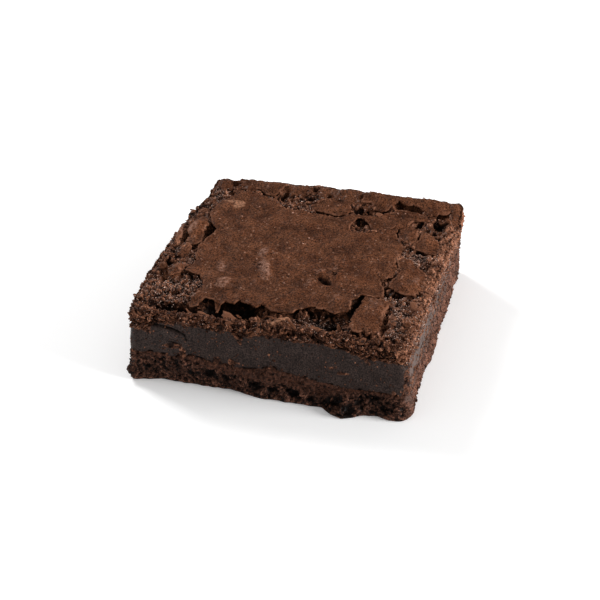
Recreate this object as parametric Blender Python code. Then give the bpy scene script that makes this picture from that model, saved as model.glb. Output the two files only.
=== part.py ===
"""A square-cut brownie: a crumbly base, a thick fudge layer and a cake top under a papery crust cracked into plates.

Metres, +Z up. The brownie lies on its flat underside, with the origin at the middle of its plan, +X to the right
along the cut front face and +Y to the back. Sizes in this file are in millimetres until the vertices are made.
"""

import bmesh
import bpy
import numpy as np
from mathutils import Vector, noise
from mathutils.geometry import delaunay_2d_cdt

MM = 0.001

# The cut block, in its own plan axes: a quarter of a tray cut into portions of 75 by 80 mm.
LEFT = -38.4
RIGHT = 37.5
FRONT = -40.0
BACK = 40.0
CORNER_RADIUS = 2.8
CRUST_LEVEL = 21.0
CRUMB_LEVEL = 19.9
RIM_ROUNDING = 0.7
LAYER_GAP = 0.3

# The foot that squeezed out in front moves the middle of the plan forward of the block's own middle.
PLAN_MIDDLE = (-0.35, -1.75)

# How far the walls stand out of the block, as (place along the side, outward distance).
FRONT_FOOT = ((-38, 0.6), (-36, 0), (-30, -1.6), (-10, -1.0), (-3, 0.7), (15, 1.0), (18, 3.4), (21, 4.6),
              (24, 3.6), (27, 1.6), (30, 1.4), (33, 2.3), (37, 2.4))
RIGHT_FOOT = ((-40, 1.2), (-27, 0.4), (-15, 0.3), (-7, 0.8), (8, 0.4), (23, 0.3), (40, 0.2))
LEFT_RIM = ((-40, -1.0), (-36, -0.3), (-30, 0.6), (-20, 1.0), (-8, 1.1), (0, 0.7), (11, 0.5), (18, 0.4),
            (25, -0.4), (30, -1.1), (40, -2.4))
RIGHT_RIM = ((-40, -0.6), (-20, -0.2), (0, 0.2), (20, 0.2), (32, 0.8), (40, 0.8))
BACK_RIM = ((-38, -2.0), (-33, -1.2), (-28, 0.2), (-12, 0.9), (8, 1.1), (20, 0.6), (30, 1.0), (37, 0.2))
FOOT_HEIGHT = 6.5
RIM_START = 9.0
RIM_FULL = 19.0

# Lumps on the walls: (x, y, z), radius, outward distance.
WALL_LUMPS = (
    ((-38.4, -40, 2.4), 1.9, 1.7),
    ((37, -40, 4.0), 3.0, 0.7),
    ((38, -12, 2.0), 2.6, 0.5),
    ((38, 14, 1.8), 2.4, 0.6),
    ((-26, -40, 14.5), 4.2, 0.5),
    ((-14, -40, 21.0), 2.6, 0.8),
    ((8, -40, 20.8), 3.0, 0.6),
    ((26, -40, 18.5), 3.6, 0.5),
    ((1, -40, 7.0), 3.5, 0.5),
)

# Where the layers meet: the height of each boundary along the front face and along the right face.
BASE_TOP_FRONT = ((-38, 8.5), (-30, 9), (-25, 8.5), (-20, 9.5), (-15, 8), (-5, 7.6), (0, 9), (2, 9.4), (5, 8),
                  (10, 7.5), (15, 6.7), (20, 6), (38, 5.7))
BASE_TOP_RIGHT = ((-40, 6), (-34, 8.3), (0, 8.5), (10, 9.8), (25, 10), (31, 11), (40, 11))
BASE_TOP_INSIDE = 8.0
FUDGE_TOP_FRONT = ((-38, 16), (-33, 16.2), (-31, 18.4), (-28, 19.2), (-10, 19.3), (-7.5, 17.2), (-5, 18.9),
                   (0, 19.3), (14, 19.2), (18, 18.6), (22, 17.8), (25, 17), (30, 16.5), (38, 16))
FUDGE_TOP_RIGHT = ((-40, 16), (0, 16), (8, 14.6), (25, 14), (31, 13), (40, 13))
FUDGE_TOP_INSIDE = 15.2
BASE_REACH = 8.0
FUDGE_REACH = 3.0

# Relief of the crumb: (x, y, half length, half width, turn in degrees, height), hollows with a height below zero.
HOLLOWS = (
    (-13, -31.2, 9.2, 3.6, 0, -2.8),
    (-27.5, -33.2, 5.6, 1.9, -4, -1.9),
    (12.5, -30.2, 8.0, 4.6, 0, -2.2),
    (19.5, -21.5, 1.5, 5.0, 0, -2.5),
    (29, -35.3, 7.0, 1.1, 0, -1.5),
    (11, 21.5, 3.6, 3.6, 0, -0.7),
    (26.9, 27.4, 1.2, 2.0, -20, -2.2),
    (32, 28.6, 1.9, 1.6, 0, -2.0),
    (34.4, 27.2, 1.0, 1.6, 0, -1.6),
    (-29.9, 9, 1.4, 5.6, 0, -2.5),
    (-35.9, 4.6, 1.0, 5.2, -4, -2.3),
    (-36.5, -10.6, 0.9, 1.8, 0, -1.9),
    (-29, -26, 1.4, 1.3, 0, -1.6),
    (35.6, -1.6, 0.9, 1.2, 0, -1.6),
    (35.8, -6, 0.8, 1.1, 0, -1.5),
    (23.6, -9, 1.2, 3.2, 0, -1.4),
    (-21, 34.6, 5.4, 1.3, -25, -1.2),
    (19.9, 35.4, 1.0, 2.6, 0, -2.1),
    (23.3, 34.0, 2.4, 1.5, 0, -2.0),
    (31.8, 33.6, 3.4, 2.4, 0, -1.2),
    (-14.6, 34.4, 0.9, 1.9, 0, -1.6),
    (-6.4, 38.2, 0.9, 0.9, 0, -1.3),
    (-1.4, 35.6, 1.0, 0.9, 0, -1.3),
    (8.7, 36.4, 1.1, 0.9, 0, -1.3),
)
LUMPS = (
    (0, -38.3, 40, 1.9, 0, 1.5),
    (36.2, 0, 1.4, 37, 0, 1.2),
    (-37.6, -8, 1.6, 27, 0, 0.7),
    (-36.3, -14.8, 1.1, 1.9, 0, 0.9),
    (-32, -15.5, 1.5, 3.7, 0, 1.3),
    (-34, -5, 2.5, 3.0, 0, 1.2),
    (-33.6, 34, 2.2, 4.5, 0, 0.9),
    (-10, 37.6, 3.2, 2.2, 0, 0.7),
    (3, 38, 2.6, 1.8, 0, 0.6),
    (9.5, -35.2, 1.2, 3.0, 20, 0.8),
    (-4.6, -34.6, 1.3, 2.6, -15, 1.2),
    (24, -37, 1.6, 1.2, 0, 0.8),
    (31.5, -27, 2.2, 3.6, 0, 0.7),
)
BACK_RISE = 2.0
BACK_RISE_FROM = 29.0
BACK_RISE_TO = 38.0

# Broad swells of the crust, in the same form as the lumps.
CRUST_SWELLS = (
    (-10, -1.5, 2.2, 3.4, 20, 0.6),
    (-8.3, -11, 1.8, 3.8, 25, 0.6),
    (9, -8.5, 3.4, 2.6, 0, 0.6),
    (-17.5, -20, 3.2, 2.6, 0, 0.5),
    (15, -21.5, 3.0, 2.2, 0, 0.5),
    (4, -18, 4.5, 3.4, 0, 0.35),
    (20, 9, 4.0, 4.5, 0, 0.4),
    (-22, 6, 6.0, 4.0, 0, 0.3),
    (-33.6, 9.2, 1.8, 4.2, 0, 0.9),
    (30, -7, 3.4, 4.4, 0, 0.35),
    (11, 38, 2.8, 2.0, 0, 0.5),
    (28.5, 38, 3.0, 2.0, 0, 0.5),
)

# Plan outlines of the plates that the crust has cracked into.
MAIN_PLATE = (
    (-21, -28.5), (-17.5, -28.3), (-16.3, -32.5), (-15, -29), (-10.5, -27), (-5.5, -30), (-4, -28.2), (0, -30.7),
    (4, -30), (6.5, -26.8), (11, -26.8), (18.5, -25.8), (17.9, -20), (20.5, -17.2), (25.3, -16), (24, -10.5),
    (22.3, -7), (26, -6), (25.8, 0.5), (24.6, 5), (25.2, 10), (24.5, 15), (21.3, 19.5), (21.5, 22.5), (25, 25),
    (25.2, 27.5), (29.5, 29.7), (28, 31.6), (24.5, 32.6), (20, 32.8), (14.5, 29), (11, 27.7), (6.5, 27.5),
    (4.5, 25.3), (0.5, 25.6), (-9, 26.3), (-13.5, 26.3), (-16.5, 29.6), (-21, 32.2), (-29.3, 33.8), (-29.8, 30.3),
    (-32.5, 25), (-33.3, 18), (-30.3, 13), (-28.1, 7), (-28.2, 3.5), (-30.2, -1), (-29, -10), (-29.7, -15),
    (-26, -16.3), (-22.4, -23.5), (-24.2, -30), (-22, -31.5),
)
MAIN_PLATE_HOLE = ((10.5, 25.7), (8.5, 20.5), (9, 17.7), (13, 18.2), (16.3, 19.3), (13, 22.5))
SMALL_PLATES = {
    "right_back": ((21.8, 22.5), (24.5, 24.3), (26.8, 24), (28.6, 20), (28, 16.3), (25.5, 14.9), (22, 18)),
    "right_back_rim": ((29.3, 21), (31.5, 21.7), (34, 18), (35.3, 12.5), (35, 10.2), (31, 12.2), (28.2, 12.9),
                       (29, 17)),
    "right": ((25.6, 5), (29.5, 5), (31.5, 1.5), (34.8, -2), (35.6, -9), (34.8, -13), (31, -13), (27.2, -11.5),
              (25.9, -8), (27.2, -3), (26.6, 1)),
    "right_front": ((21.2, -17.8), (24.5, -18.2), (26, -17.3), (28, -21), (27, -26), (28, -31), (26, -33.6),
                    (21.5, -34.5), (20.4, -30), (20.5, -24)),
    "left_blister": ((-35.8, 13), (-33, 14.5), (-31, 11), (-30.6, 3), (-31.5, -0.5), (-33.8, 0.5), (-35.3, 6),
                     (-36.8, 9)),
    "left_rim": ((-37.4, 11), (-36.5, 5), (-36.4, 1.5), (-37.2, -0.5), (-37.8, 5)),
    "back_right": ((8.5, 33.8), (11.5, 34.7), (13.5, 31.8), (16, 31.3), (18, 34.7), (19.5, 36.4), (22, 35),
                   (24.5, 35.2), (28.5, 33.2), (29.5, 31.8), (34.6, 33.8), (34.9, 37.2), (30, 38.6), (9, 38.4)),
    "back_middle": ((-5.3, 29.4), (-4.8, 32.4), (-2.8, 34.4), (3.2, 34.6), (5.9, 31.4), (6.5, 29.4), (5, 26.3),
                    (2.7, 25.9), (1, 26.4), (-0.6, 27.3), (-4.4, 27.4)),
    "back_left": ((-29.5, 36.2), (-24.5, 34.9), (-22, 34.7), (-19.8, 32.8), (-17.5, 32.6), (-16, 34.9),
                  (-14.8, 37.4), (-16, 38.4), (-29, 38)),
    "front_flake": ((-3, -36.6), (3.4, -33.4), (4, -34.6), (-1.5, -37.6)),
}

# Mesh spacings.
RING_STEP = 1.5
CRUMB_STEP = 1.25
CRUST_STEP = 2.7
LAYER_STEP = 5.0
PLATE_EDGE_STEP = 1.7
PLATE_EDGE_RUN = 0.28
PLATE_EDGE_WANDER = 0.3
EDGE_CLEARANCE = 0.75

BASE_COLOUR = (0.030, 0.014, 0.010)
FUDGE_COLOUR = (0.022, 0.017, 0.016)
CRUST_COLOUR = (0.105, 0.050, 0.032)


def smooth(low, high, value):
    share = np.clip((value - low) / (high - low), 0, 1)
    return share * share * (3 - 2 * share)


def along(table, place):
    """The value of a (place, value) table at each place, with straight runs between its points."""
    places, values = zip(*table)
    return np.interp(place, places, values)


def rough(points, cell, seed):
    """Gradient noise from about -1 to 1 at points of three coordinates, with swells about one cell across."""
    shift = Vector((seed * 17.3, seed * 5.1, seed * 9.7))
    return np.array([noise.noise(Vector(point) / cell + shift) for point in points])


def relief(x, y, features):
    """The summed height of flat-topped oval features, each (x, y, half length, half width, turn, height)."""
    total = np.zeros(len(x))
    for middle_x, middle_y, half_x, half_y, turn, height in features:
        angle = np.radians(turn)
        run = ((x - middle_x) * np.cos(angle) + (y - middle_y) * np.sin(angle)) / half_x
        rise = ((y - middle_y) * np.cos(angle) - (x - middle_x) * np.sin(angle)) / half_y
        total += height * np.exp(-(run ** 2 + rise ** 2) ** 1.5)
    return total


def back_rise(y):
    return BACK_RISE * smooth(BACK_RISE_FROM, BACK_RISE_TO, y)


def crumb_height(x, y):
    flat = np.column_stack([x, y, np.zeros(len(x))])
    bumps = 0.45 * rough(flat, 4.5, 1) + 0.45 * rough(flat, 2.4, 2)
    hollow = np.maximum(relief(x, y, HOLLOWS), -2.9)
    return CRUMB_LEVEL + hollow + relief(x, y, LUMPS) + back_rise(y) + bumps


def crust_height(x, y):
    flat = np.column_stack([x, y, np.zeros(len(x))])
    bumps = 0.45 * rough(flat, 11, 3) + 0.18 * rough(flat, 4.5, 4)
    return CRUST_LEVEL + relief(x, y, CRUST_SWELLS) + back_rise(y) + bumps


def layer_height(x, y, front, right, inside, reach):
    """A layer boundary: it follows the two profiles at the cut faces and settles to one level inside."""
    near_front = np.exp(-((y - FRONT) / reach) ** 2)
    near_right = np.exp(-((x - RIGHT) / reach) ** 2)
    near_inside = 0.02 + (1 - near_front) * (1 - near_right)
    total = near_front * along(front, x) + near_right * along(right, y) + near_inside * inside
    return total / (near_front + near_right + near_inside)


def base_top(x, y):
    return layer_height(x, y, BASE_TOP_FRONT, BASE_TOP_RIGHT, BASE_TOP_INSIDE, BASE_REACH)


def fudge_top(x, y):
    return layer_height(x, y, FUDGE_TOP_FRONT, FUDGE_TOP_RIGHT, FUDGE_TOP_INSIDE, FUDGE_REACH)


def block_ring():
    """Plan points and outward directions round the cut block, anticlockwise from its front left corner."""
    corners = ((LEFT, FRONT, 180), (RIGHT, FRONT, 270), (RIGHT, BACK, 0), (LEFT, BACK, 90))
    sides = (RIGHT - LEFT, BACK - FRONT, RIGHT - LEFT, BACK - FRONT)
    places = []
    outwards = []
    for (corner_x, corner_y, start), side in zip(corners, sides):
        middle = np.array([corner_x, corner_y]) - CORNER_RADIUS * np.sign([corner_x, corner_y])
        for angle in np.radians(np.linspace(start, start + 90, 4)):
            outward = np.array([np.cos(angle), np.sin(angle)])
            places.append(middle + CORNER_RADIUS * outward)
            outwards.append(outward)
        straight = side - 2 * CORNER_RADIUS
        onward = np.array([-outward[1], outward[0]])
        steps = int(np.ceil(straight / RING_STEP))
        for step in range(1, steps):
            places.append(middle + CORNER_RADIUS * outward + onward * straight * step / steps)
            outwards.append(outward)
    return np.array(places), np.array(outwards)


def wall(heights):
    """The ring of points of the brownie's wall at the given height above each of the block's plan points."""
    places, outwards = block_ring()
    x, y = places.T
    to_right, to_left = np.maximum(outwards[:, 0], 0) ** 2, np.maximum(-outwards[:, 0], 0) ** 2
    to_back, to_front = np.maximum(outwards[:, 1], 0) ** 2, np.maximum(-outwards[:, 1], 0) ** 2
    foot = 1 - smooth(0.5, FOOT_HEIGHT, heights)
    rim = smooth(RIM_START, RIM_FULL, heights)
    out = foot * (to_front * along(FRONT_FOOT, x) + to_right * along(RIGHT_FOOT, y))
    out += rim * (to_left * along(LEFT_RIM, y) + to_right * along(RIGHT_RIM, y) + to_back * along(BACK_RIM, x))
    solid = np.column_stack([x, y, heights])
    for middle, radius, distance in WALL_LUMPS:
        away = np.sum((solid - np.array(middle)) ** 2, axis=1) / radius ** 2
        out += distance * np.exp(-away)
    in_fudge = smooth(-0.5, 0.8, heights - base_top(x, y)) * smooth(-0.5, 0.8, fudge_top(x, y) - heights)
    crumble = 0.42 * rough(solid, 3.4, 5) + 0.3 * rough(solid, 1.9, 6)
    cut = 0.15 * rough(solid, 7.0, 7)
    out += crumble * (1 - in_fudge) + cut * in_fudge
    return np.column_stack([places + outwards * out[:, None], heights])


def inside(points, outline):
    """Which points lie inside the outline, by counting the edges that a ray to the right crosses."""
    corners = np.array(outline, float)
    found = np.zeros(len(points), bool)
    for (x0, y0), (x1, y1) in zip(corners, np.roll(corners, -1, axis=0)):
        if y0 == y1:
            continue
        crosses = (y0 > points[:, 1]) != (y1 > points[:, 1])
        found ^= crosses & (points[:, 0] < x0 + (points[:, 1] - y0) * (x1 - x0) / (y1 - y0))
    return found


def edge_distance(points, outline):
    """Each point's distance to the nearest edge of the closed outline."""
    starts = np.array(outline, float)
    nearest = np.full(len(points), np.inf)
    for start, end in zip(starts, np.roll(starts, -1, axis=0)):
        run = end - start
        share = np.clip((points - start) @ run / max(run @ run, 1e-12), 0, 1)
        away = np.linalg.norm(points - start - share[:, None] * run, axis=1)
        nearest = np.minimum(nearest, away)
    return nearest


def outward_normals(outline):
    before = np.roll(outline, 1, axis=0)
    after = np.roll(outline, -1, axis=0)
    run = after - before
    normals = np.column_stack([run[:, 1], -run[:, 0]])
    area = np.sum(outline[:, 0] * after[:, 1] - after[:, 0] * outline[:, 1])
    return normals * np.sign(area) / np.linalg.norm(normals, axis=1)[:, None]


def ragged(outline, seed):
    """The outline with more points along it, which wander in and out as a broken edge does."""
    corners = np.array(outline, float)
    points = []
    for start, end in zip(corners, np.roll(corners, -1, axis=0)):
        steps = max(1, round(np.linalg.norm(end - start) / PLATE_EDGE_STEP))
        points += [start + (end - start) * step / steps for step in range(steps)]
    points = np.array(points)
    wander = rough(np.column_stack([points, np.zeros(len(points))]), 1.7, seed)
    return points + outward_normals(points) * wander[:, None] * PLATE_EDGE_WANDER


def crust_plates():
    """The ragged outlines of the plates, the main one first, and of the hole in the main plate."""
    plates = [ragged(MAIN_PLATE, 11)]
    plates += [ragged(outline, 12 + index) for index, outline in enumerate(SMALL_PLATES.values())]
    return plates, ragged(MAIN_PLATE_HOLE, 31)


def on_crust(points, plates, hole):
    touching = 0.02
    covered = np.zeros(len(points), bool)
    for plate in plates:
        covered |= inside(points, plate) | (edge_distance(points, plate) < touching)
    return covered & ~(inside(points, hole) & (edge_distance(points, hole) > touching))


def scattered(ring, step, seed):
    """A jittered triangular grid of plan points inside the ring, clear of its edge by half a step."""
    draw = np.random.default_rng(seed)
    low, high = ring.min(axis=0), ring.max(axis=0)
    rows = np.arange(low[1], high[1], step * 0.87)
    points = []
    for index, y in enumerate(rows):
        for x in np.arange(low[0] + (index % 2) * step / 2, high[0], step):
            points.append((x, y))
    points = np.array(points) + draw.uniform(-0.22, 0.22, (len(points), 2)) * step
    return points[inside(points, ring) & (edge_distance(points, ring) > step * 0.5)]


def triangulated(ring, loops, points):
    """Plan triangles of the area inside the ring, with every loop's edges kept, and their plan points."""
    corners = [tuple(point) for point in ring]
    edges = [(index, (index + 1) % len(ring)) for index in range(len(ring))]
    for loop in loops:
        first = len(corners)
        corners += [tuple(point) for point in loop]
        edges += [(first + index, first + (index + 1) % len(loop)) for index in range(len(loop))]
    corners += [tuple(point) for point in points]
    made = delaunay_2d_cdt([Vector(corner) for corner in corners], edges, [], 1, 1e-6)
    plan = np.array([tuple(vertex) for vertex in made[0]])
    ring_index = {}
    for index, sources in enumerate(made[3]):
        for source in sources:
            if source < len(ring):
                ring_index[index] = source
    return plan, made[2], ring_index


def add_cap(mesh, ring_vertices, plan, faces, ring_index, heights, faces_up):
    """Closes the ring of vertices with the plan triangles, lifted to the given heights."""
    vertices = []
    for index, (x, y) in enumerate(plan):
        if index in ring_index:
            vertices.append(ring_vertices[ring_index[index]])
        else:
            vertices.append(mesh.verts.new((x, y, heights[index])))
    for face in faces:
        (x0, y0), (x1, y1), (x2, y2) = plan[face[0]], plan[face[1]], plan[face[2]]
        anticlockwise = (x1 - x0) * (y2 - y0) - (x2 - x0) * (y1 - y0) > 0
        order = face if anticlockwise == faces_up else face[::-1]
        mesh.faces.new([vertices[index] for index in order])


def layer_solid(name, rows, bottom, top, colour, roughness):
    """A layer from its wall's rows of points, lowest first, and its two caps as (plan, faces, ring index, heights)."""
    mesh = bmesh.new()
    vertex_rows = [[mesh.verts.new(point) for point in row] for row in rows]
    count = len(rows[0])
    for lower, upper in zip(vertex_rows, vertex_rows[1:]):
        for index in range(count):
            after = (index + 1) % count
            mesh.faces.new((lower[index], lower[after], upper[after], upper[index]))
    add_cap(mesh, vertex_rows[0], *bottom, faces_up=False)
    add_cap(mesh, vertex_rows[-1], *top, faces_up=True)
    bmesh.ops.triangulate(mesh, faces=mesh.faces[:])
    bmesh.ops.translate(mesh, verts=mesh.verts[:], vec=(-PLAN_MIDDLE[0], -PLAN_MIDDLE[1], 0))
    bmesh.ops.scale(mesh, verts=mesh.verts[:], vec=(MM, MM, MM))
    data = bpy.data.meshes.new(name)
    mesh.to_mesh(data)
    mesh.free()
    data.materials.append(material(name, colour, roughness))
    layer = bpy.data.objects.new(name, data)
    bpy.context.scene.collection.objects.link(layer)
    return layer


def material(name, colour, roughness):
    made = bpy.data.materials.new(name)
    made.use_nodes = True
    shader = made.node_tree.nodes["Principled BSDF"]
    shader.inputs["Base Color"].default_value = (*colour, 1)
    shader.inputs["Roughness"].default_value = roughness
    shader.inputs["Metallic"].default_value = 0
    return made


def rows_between(low, high, count):
    """The wall's rows from one boundary to another, each boundary a height for every point of the ring."""
    return [wall(low + (high - low) * share) for share in np.linspace(0, 1, count)]


def plain_cap(ring, height_of, lift, step, seed):
    plan, faces, ring_index = triangulated(ring, [], scattered(ring, step, seed))
    return plan, faces, ring_index, height_of(*plan.T) + lift


def rim_heights():
    """The height of the wall's upper edge, a little below the crumb just inside it."""
    x, y = block_ring()[0].T
    return crumb_height(x, y) - RIM_ROUNDING * 0.5


def crusted_cap(ring):
    """The top surface: crumb where it is bare, and the plates' tops, with a step down at each plate's edge."""
    plates, hole = crust_plates()
    loops = [*plates, hole]
    for plate in plates:
        loops.append(plate + outward_normals(plate) * PLATE_EDGE_RUN)
    loops.append(hole - outward_normals(hole) * PLATE_EDGE_RUN)
    crumb = scattered(ring, CRUMB_STEP, 41)
    crust = scattered(ring, CRUST_STEP, 42)
    points = np.concatenate([crumb[~on_crust(crumb, plates, hole)], crust[on_crust(crust, plates, hole)]])
    clear = np.min([edge_distance(points, loop) for loop in loops], axis=0) > EDGE_CLEARANCE
    plan, faces, ring_index = triangulated(ring, loops, points[clear])
    crusted = on_crust(plan, plates, hole)
    heights = np.where(crusted, crust_height(*plan.T), crumb_height(*plan.T))
    rounding = RIM_ROUNDING * (1 - smooth(0, 2.2, edge_distance(plan, ring)))
    return plan, faces, ring_index, heights - rounding


def build_brownie():
    x, y = block_ring()[0].T
    base_edge = base_top(x, y)
    fudge_edge = fudge_top(x, y)
    floor_rows = rows_between(np.zeros(len(x)), base_edge, 6)
    fudge_rows = rows_between(base_edge, fudge_edge, 5)
    cake_rows = rows_between(fudge_edge, rim_heights(), 4)
    lift = np.array([0, 0, LAYER_GAP])

    floor_cap = plain_cap(floor_rows[0][:, :2], lambda x, y: np.zeros(len(x)), 0, LAYER_STEP, 21)
    base_cap = plain_cap(floor_rows[-1][:, :2], base_top, 0, LAYER_STEP, 22)
    layer_solid("base_cake", floor_rows, floor_cap, base_cap, BASE_COLOUR, 0.85)

    fudge_rows[0] = floor_rows[-1] + lift
    fudge_floor = plain_cap(floor_rows[-1][:, :2], base_top, LAYER_GAP, LAYER_STEP, 22)
    fudge_cap = plain_cap(fudge_rows[-1][:, :2], fudge_top, 0, LAYER_STEP, 23)
    layer_solid("fudge_layer", fudge_rows, fudge_floor, fudge_cap, FUDGE_COLOUR, 0.55)

    cake_rows[0] = fudge_rows[-1] + lift
    cake_floor = plain_cap(fudge_rows[-1][:, :2], fudge_top, LAYER_GAP, LAYER_STEP, 23)
    cake_cap = crusted_cap(cake_rows[-1][:, :2])
    layer_solid("top_cake", cake_rows, cake_floor, cake_cap, CRUST_COLOUR, 0.7)


for leftover in list(bpy.data.objects):
    bpy.data.objects.remove(leftover)
build_brownie()
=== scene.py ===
"""The looks of a square-cut brownie: crumb, dense fudge and a cracked papery crust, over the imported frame.

Shapes are worked out in millimetres in the cut block's own plan axes, and become the frame's metres as
vertices are made. +X runs to the right along the cut front face, +Y to the back.
"""

import bmesh
import bpy
import numpy as np
from mathutils import Matrix, Vector, noise
from mathutils.geometry import delaunay_2d_cdt


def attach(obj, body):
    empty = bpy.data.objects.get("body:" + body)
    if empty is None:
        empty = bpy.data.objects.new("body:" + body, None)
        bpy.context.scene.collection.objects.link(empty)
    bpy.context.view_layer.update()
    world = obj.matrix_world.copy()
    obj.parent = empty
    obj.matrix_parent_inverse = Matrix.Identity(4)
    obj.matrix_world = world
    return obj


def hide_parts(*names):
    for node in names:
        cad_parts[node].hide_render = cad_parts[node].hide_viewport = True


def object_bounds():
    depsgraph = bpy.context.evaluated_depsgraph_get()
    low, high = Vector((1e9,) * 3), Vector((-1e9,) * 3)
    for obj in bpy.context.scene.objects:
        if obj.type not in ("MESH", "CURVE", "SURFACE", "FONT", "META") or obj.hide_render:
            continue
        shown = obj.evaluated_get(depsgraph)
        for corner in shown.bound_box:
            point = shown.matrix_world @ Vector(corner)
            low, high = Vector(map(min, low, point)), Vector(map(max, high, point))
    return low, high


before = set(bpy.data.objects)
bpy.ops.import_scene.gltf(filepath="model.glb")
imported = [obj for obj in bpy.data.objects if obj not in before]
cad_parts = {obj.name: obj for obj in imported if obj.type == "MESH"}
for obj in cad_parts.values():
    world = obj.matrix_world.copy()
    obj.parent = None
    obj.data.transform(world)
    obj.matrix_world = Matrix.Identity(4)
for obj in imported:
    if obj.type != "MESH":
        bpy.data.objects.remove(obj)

CAD_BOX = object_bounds()
BODY = "root"
MM = 0.001
TINY = 1e-12
NOISE_SHIFT = np.array((17.3, 5.1, 9.7))

# The block, its walls and its layers, as in the solids.
LEFT = -38.4
RIGHT = 37.5
FRONT = -40.0
BACK = 40.0
CORNER_RADIUS = 2.8
CRUST_LEVEL = 21.0
CRUMB_LEVEL = 19.9
RIM_ROUNDING = 0.7
PLAN_MIDDLE = (-0.35, -1.75)

# How far the walls stand out at the foot and the rim: (place along the wall, distance).
FRONT_FOOT = (
    (-38, 0.6), (-36, 0), (-30, -1.6), (-10, -1), (-3, 0.7), (15, 1), (18, 3.4), (21, 4.6), (24, 3.6),
    (27, 1.6), (30, 1.4), (33, 2.3), (37, 2.4),
)
RIGHT_FOOT = ((-40, 1.2), (-27, 0.4), (-15, 0.3), (-7, 0.8), (8, 0.4), (23, 0.3), (40, 0.2))
LEFT_RIM = (
    (-40, -1), (-36, -0.3), (-30, 0.6), (-20, 1), (-8, 1.1), (0, 0.7), (11, 0.5), (18, 0.4), (25, -0.4),
    (30, -1.1), (40, -2.4),
)
RIGHT_RIM = ((-40, -0.6), (-20, -0.2), (0, 0.2), (20, 0.2), (32, 0.8), (40, 0.8))
BACK_RIM = ((-38, -2), (-33, -1.2), (-28, 0.2), (-12, 0.9), (8, 1.1), (20, 0.6), (30, 1), (37, 0.2))
FOOT_HEIGHT = 6.5
RIM_START = 9.0
RIM_FULL = 19.0
# Lumps on the walls: (middle, radius, distance out).
WALL_LUMPS = (
    ((-38.4, -40, 2.4), 1.9, 1.7), ((37, -40, 4), 3, 0.7), ((38, -12, 2), 2.6, 0.5),
    ((38, 14, 1.8), 2.4, 0.6), ((-26, -40, 14.5), 4.2, 0.5), ((-14, -40, 21), 2.6, 0.8),
    ((8, -40, 20.8), 3, 0.6), ((26, -40, 18.5), 3.6, 0.5), ((1, -40, 7), 3.5, 0.5),
)
# Layer boundaries at the front and right faces: (place, height).
BASE_TOP_FRONT = (
    (-38, 8.5), (-30, 9), (-25, 8.5), (-20, 9.5), (-15, 8), (-5, 7.6), (0, 9), (2, 9.4), (5, 8), (10, 7.5),
    (15, 6.7), (20, 6), (38, 5.7),
)
BASE_TOP_RIGHT = ((-40, 6), (-34, 8.3), (0, 8.5), (10, 9.8), (25, 10), (31, 11), (40, 11))
BASE_TOP_INSIDE = 8.0
FUDGE_TOP_FRONT = (
    (-38, 16), (-33, 16.2), (-31, 18.4), (-28, 19.2), (-10, 19.3), (-7.5, 17.2), (-5, 18.9), (0, 19.3),
    (14, 19.2), (18, 18.6), (22, 17.8), (25, 17), (30, 16.5), (38, 16),
)
FUDGE_TOP_RIGHT = ((-40, 16), (0, 16), (8, 14.6), (25, 14), (31, 13), (40, 13))
FUDGE_TOP_INSIDE = 15.2
BASE_REACH = 8.0
FUDGE_REACH = 3.0
# Relief of the top, here and below: (x, y, half length, half width, turn, height).
HOLLOWS = (
    (-13, -31.2, 9.2, 3.6, 0, -2.8), (-27.5, -33.2, 5.6, 1.9, -4, -1.9), (12.5, -30.2, 8, 4.6, 0, -2.2),
    (19.5, -21.5, 1.5, 5, 0, -2.5), (29, -35.3, 7, 1.1, 0, -1.5), (11, 21.5, 3.6, 3.6, 0, -0.7),
    (26.9, 27.4, 1.2, 2, -20, -2.2), (32, 28.6, 1.9, 1.6, 0, -2), (34.4, 27.2, 1, 1.6, 0, -1.6),
    (-29.9, 9, 1.4, 5.6, 0, -2.5), (-35.9, 4.6, 1, 5.2, -4, -2.3), (-36.5, -10.6, 0.9, 1.8, 0, -1.9),
    (-29, -26, 1.4, 1.3, 0, -1.6), (35.6, -1.6, 0.9, 1.2, 0, -1.6), (35.8, -6, 0.8, 1.1, 0, -1.5),
    (23.6, -9, 1.2, 3.2, 0, -1.4), (-21, 34.6, 5.4, 1.3, -25, -1.2), (19.9, 35.4, 1, 2.6, 0, -2.1),
    (23.3, 34, 2.4, 1.5, 0, -2), (31.8, 33.6, 3.4, 2.4, 0, -1.2), (-14.6, 34.4, 0.9, 1.9, 0, -1.6),
    (-6.4, 38.2, 0.9, 0.9, 0, -1.3), (-1.4, 35.6, 1, 0.9, 0, -1.3), (8.7, 36.4, 1.1, 0.9, 0, -1.3),
)
LUMPS = (
    (0, -38.3, 40, 1.9, 0, 1.5), (36.2, 0, 1.4, 37, 0, 1.2), (-37.6, -8, 1.6, 27, 0, 0.7),
    (-36.3, -14.8, 1.1, 1.9, 0, 0.9), (-32, -15.5, 1.5, 3.7, 0, 1.3), (-34, -5, 2.5, 3, 0, 1.2),
    (-33.6, 34, 2.2, 4.5, 0, 0.9), (-10, 37.6, 3.2, 2.2, 0, 0.7), (3, 38, 2.6, 1.8, 0, 0.6),
    (9.5, -35.2, 1.2, 3, 20, 0.8), (-4.6, -34.6, 1.3, 2.6, -15, 1.2), (24, -37, 1.6, 1.2, 0, 0.8),
    (31.5, -27, 2.2, 3.6, 0, 0.7),
)
DEEPEST_HOLLOW = 2.9
BACK_RISE = 2.0
BACK_RISE_FROM = 29.0
BACK_RISE_TO = 38.0
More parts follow.
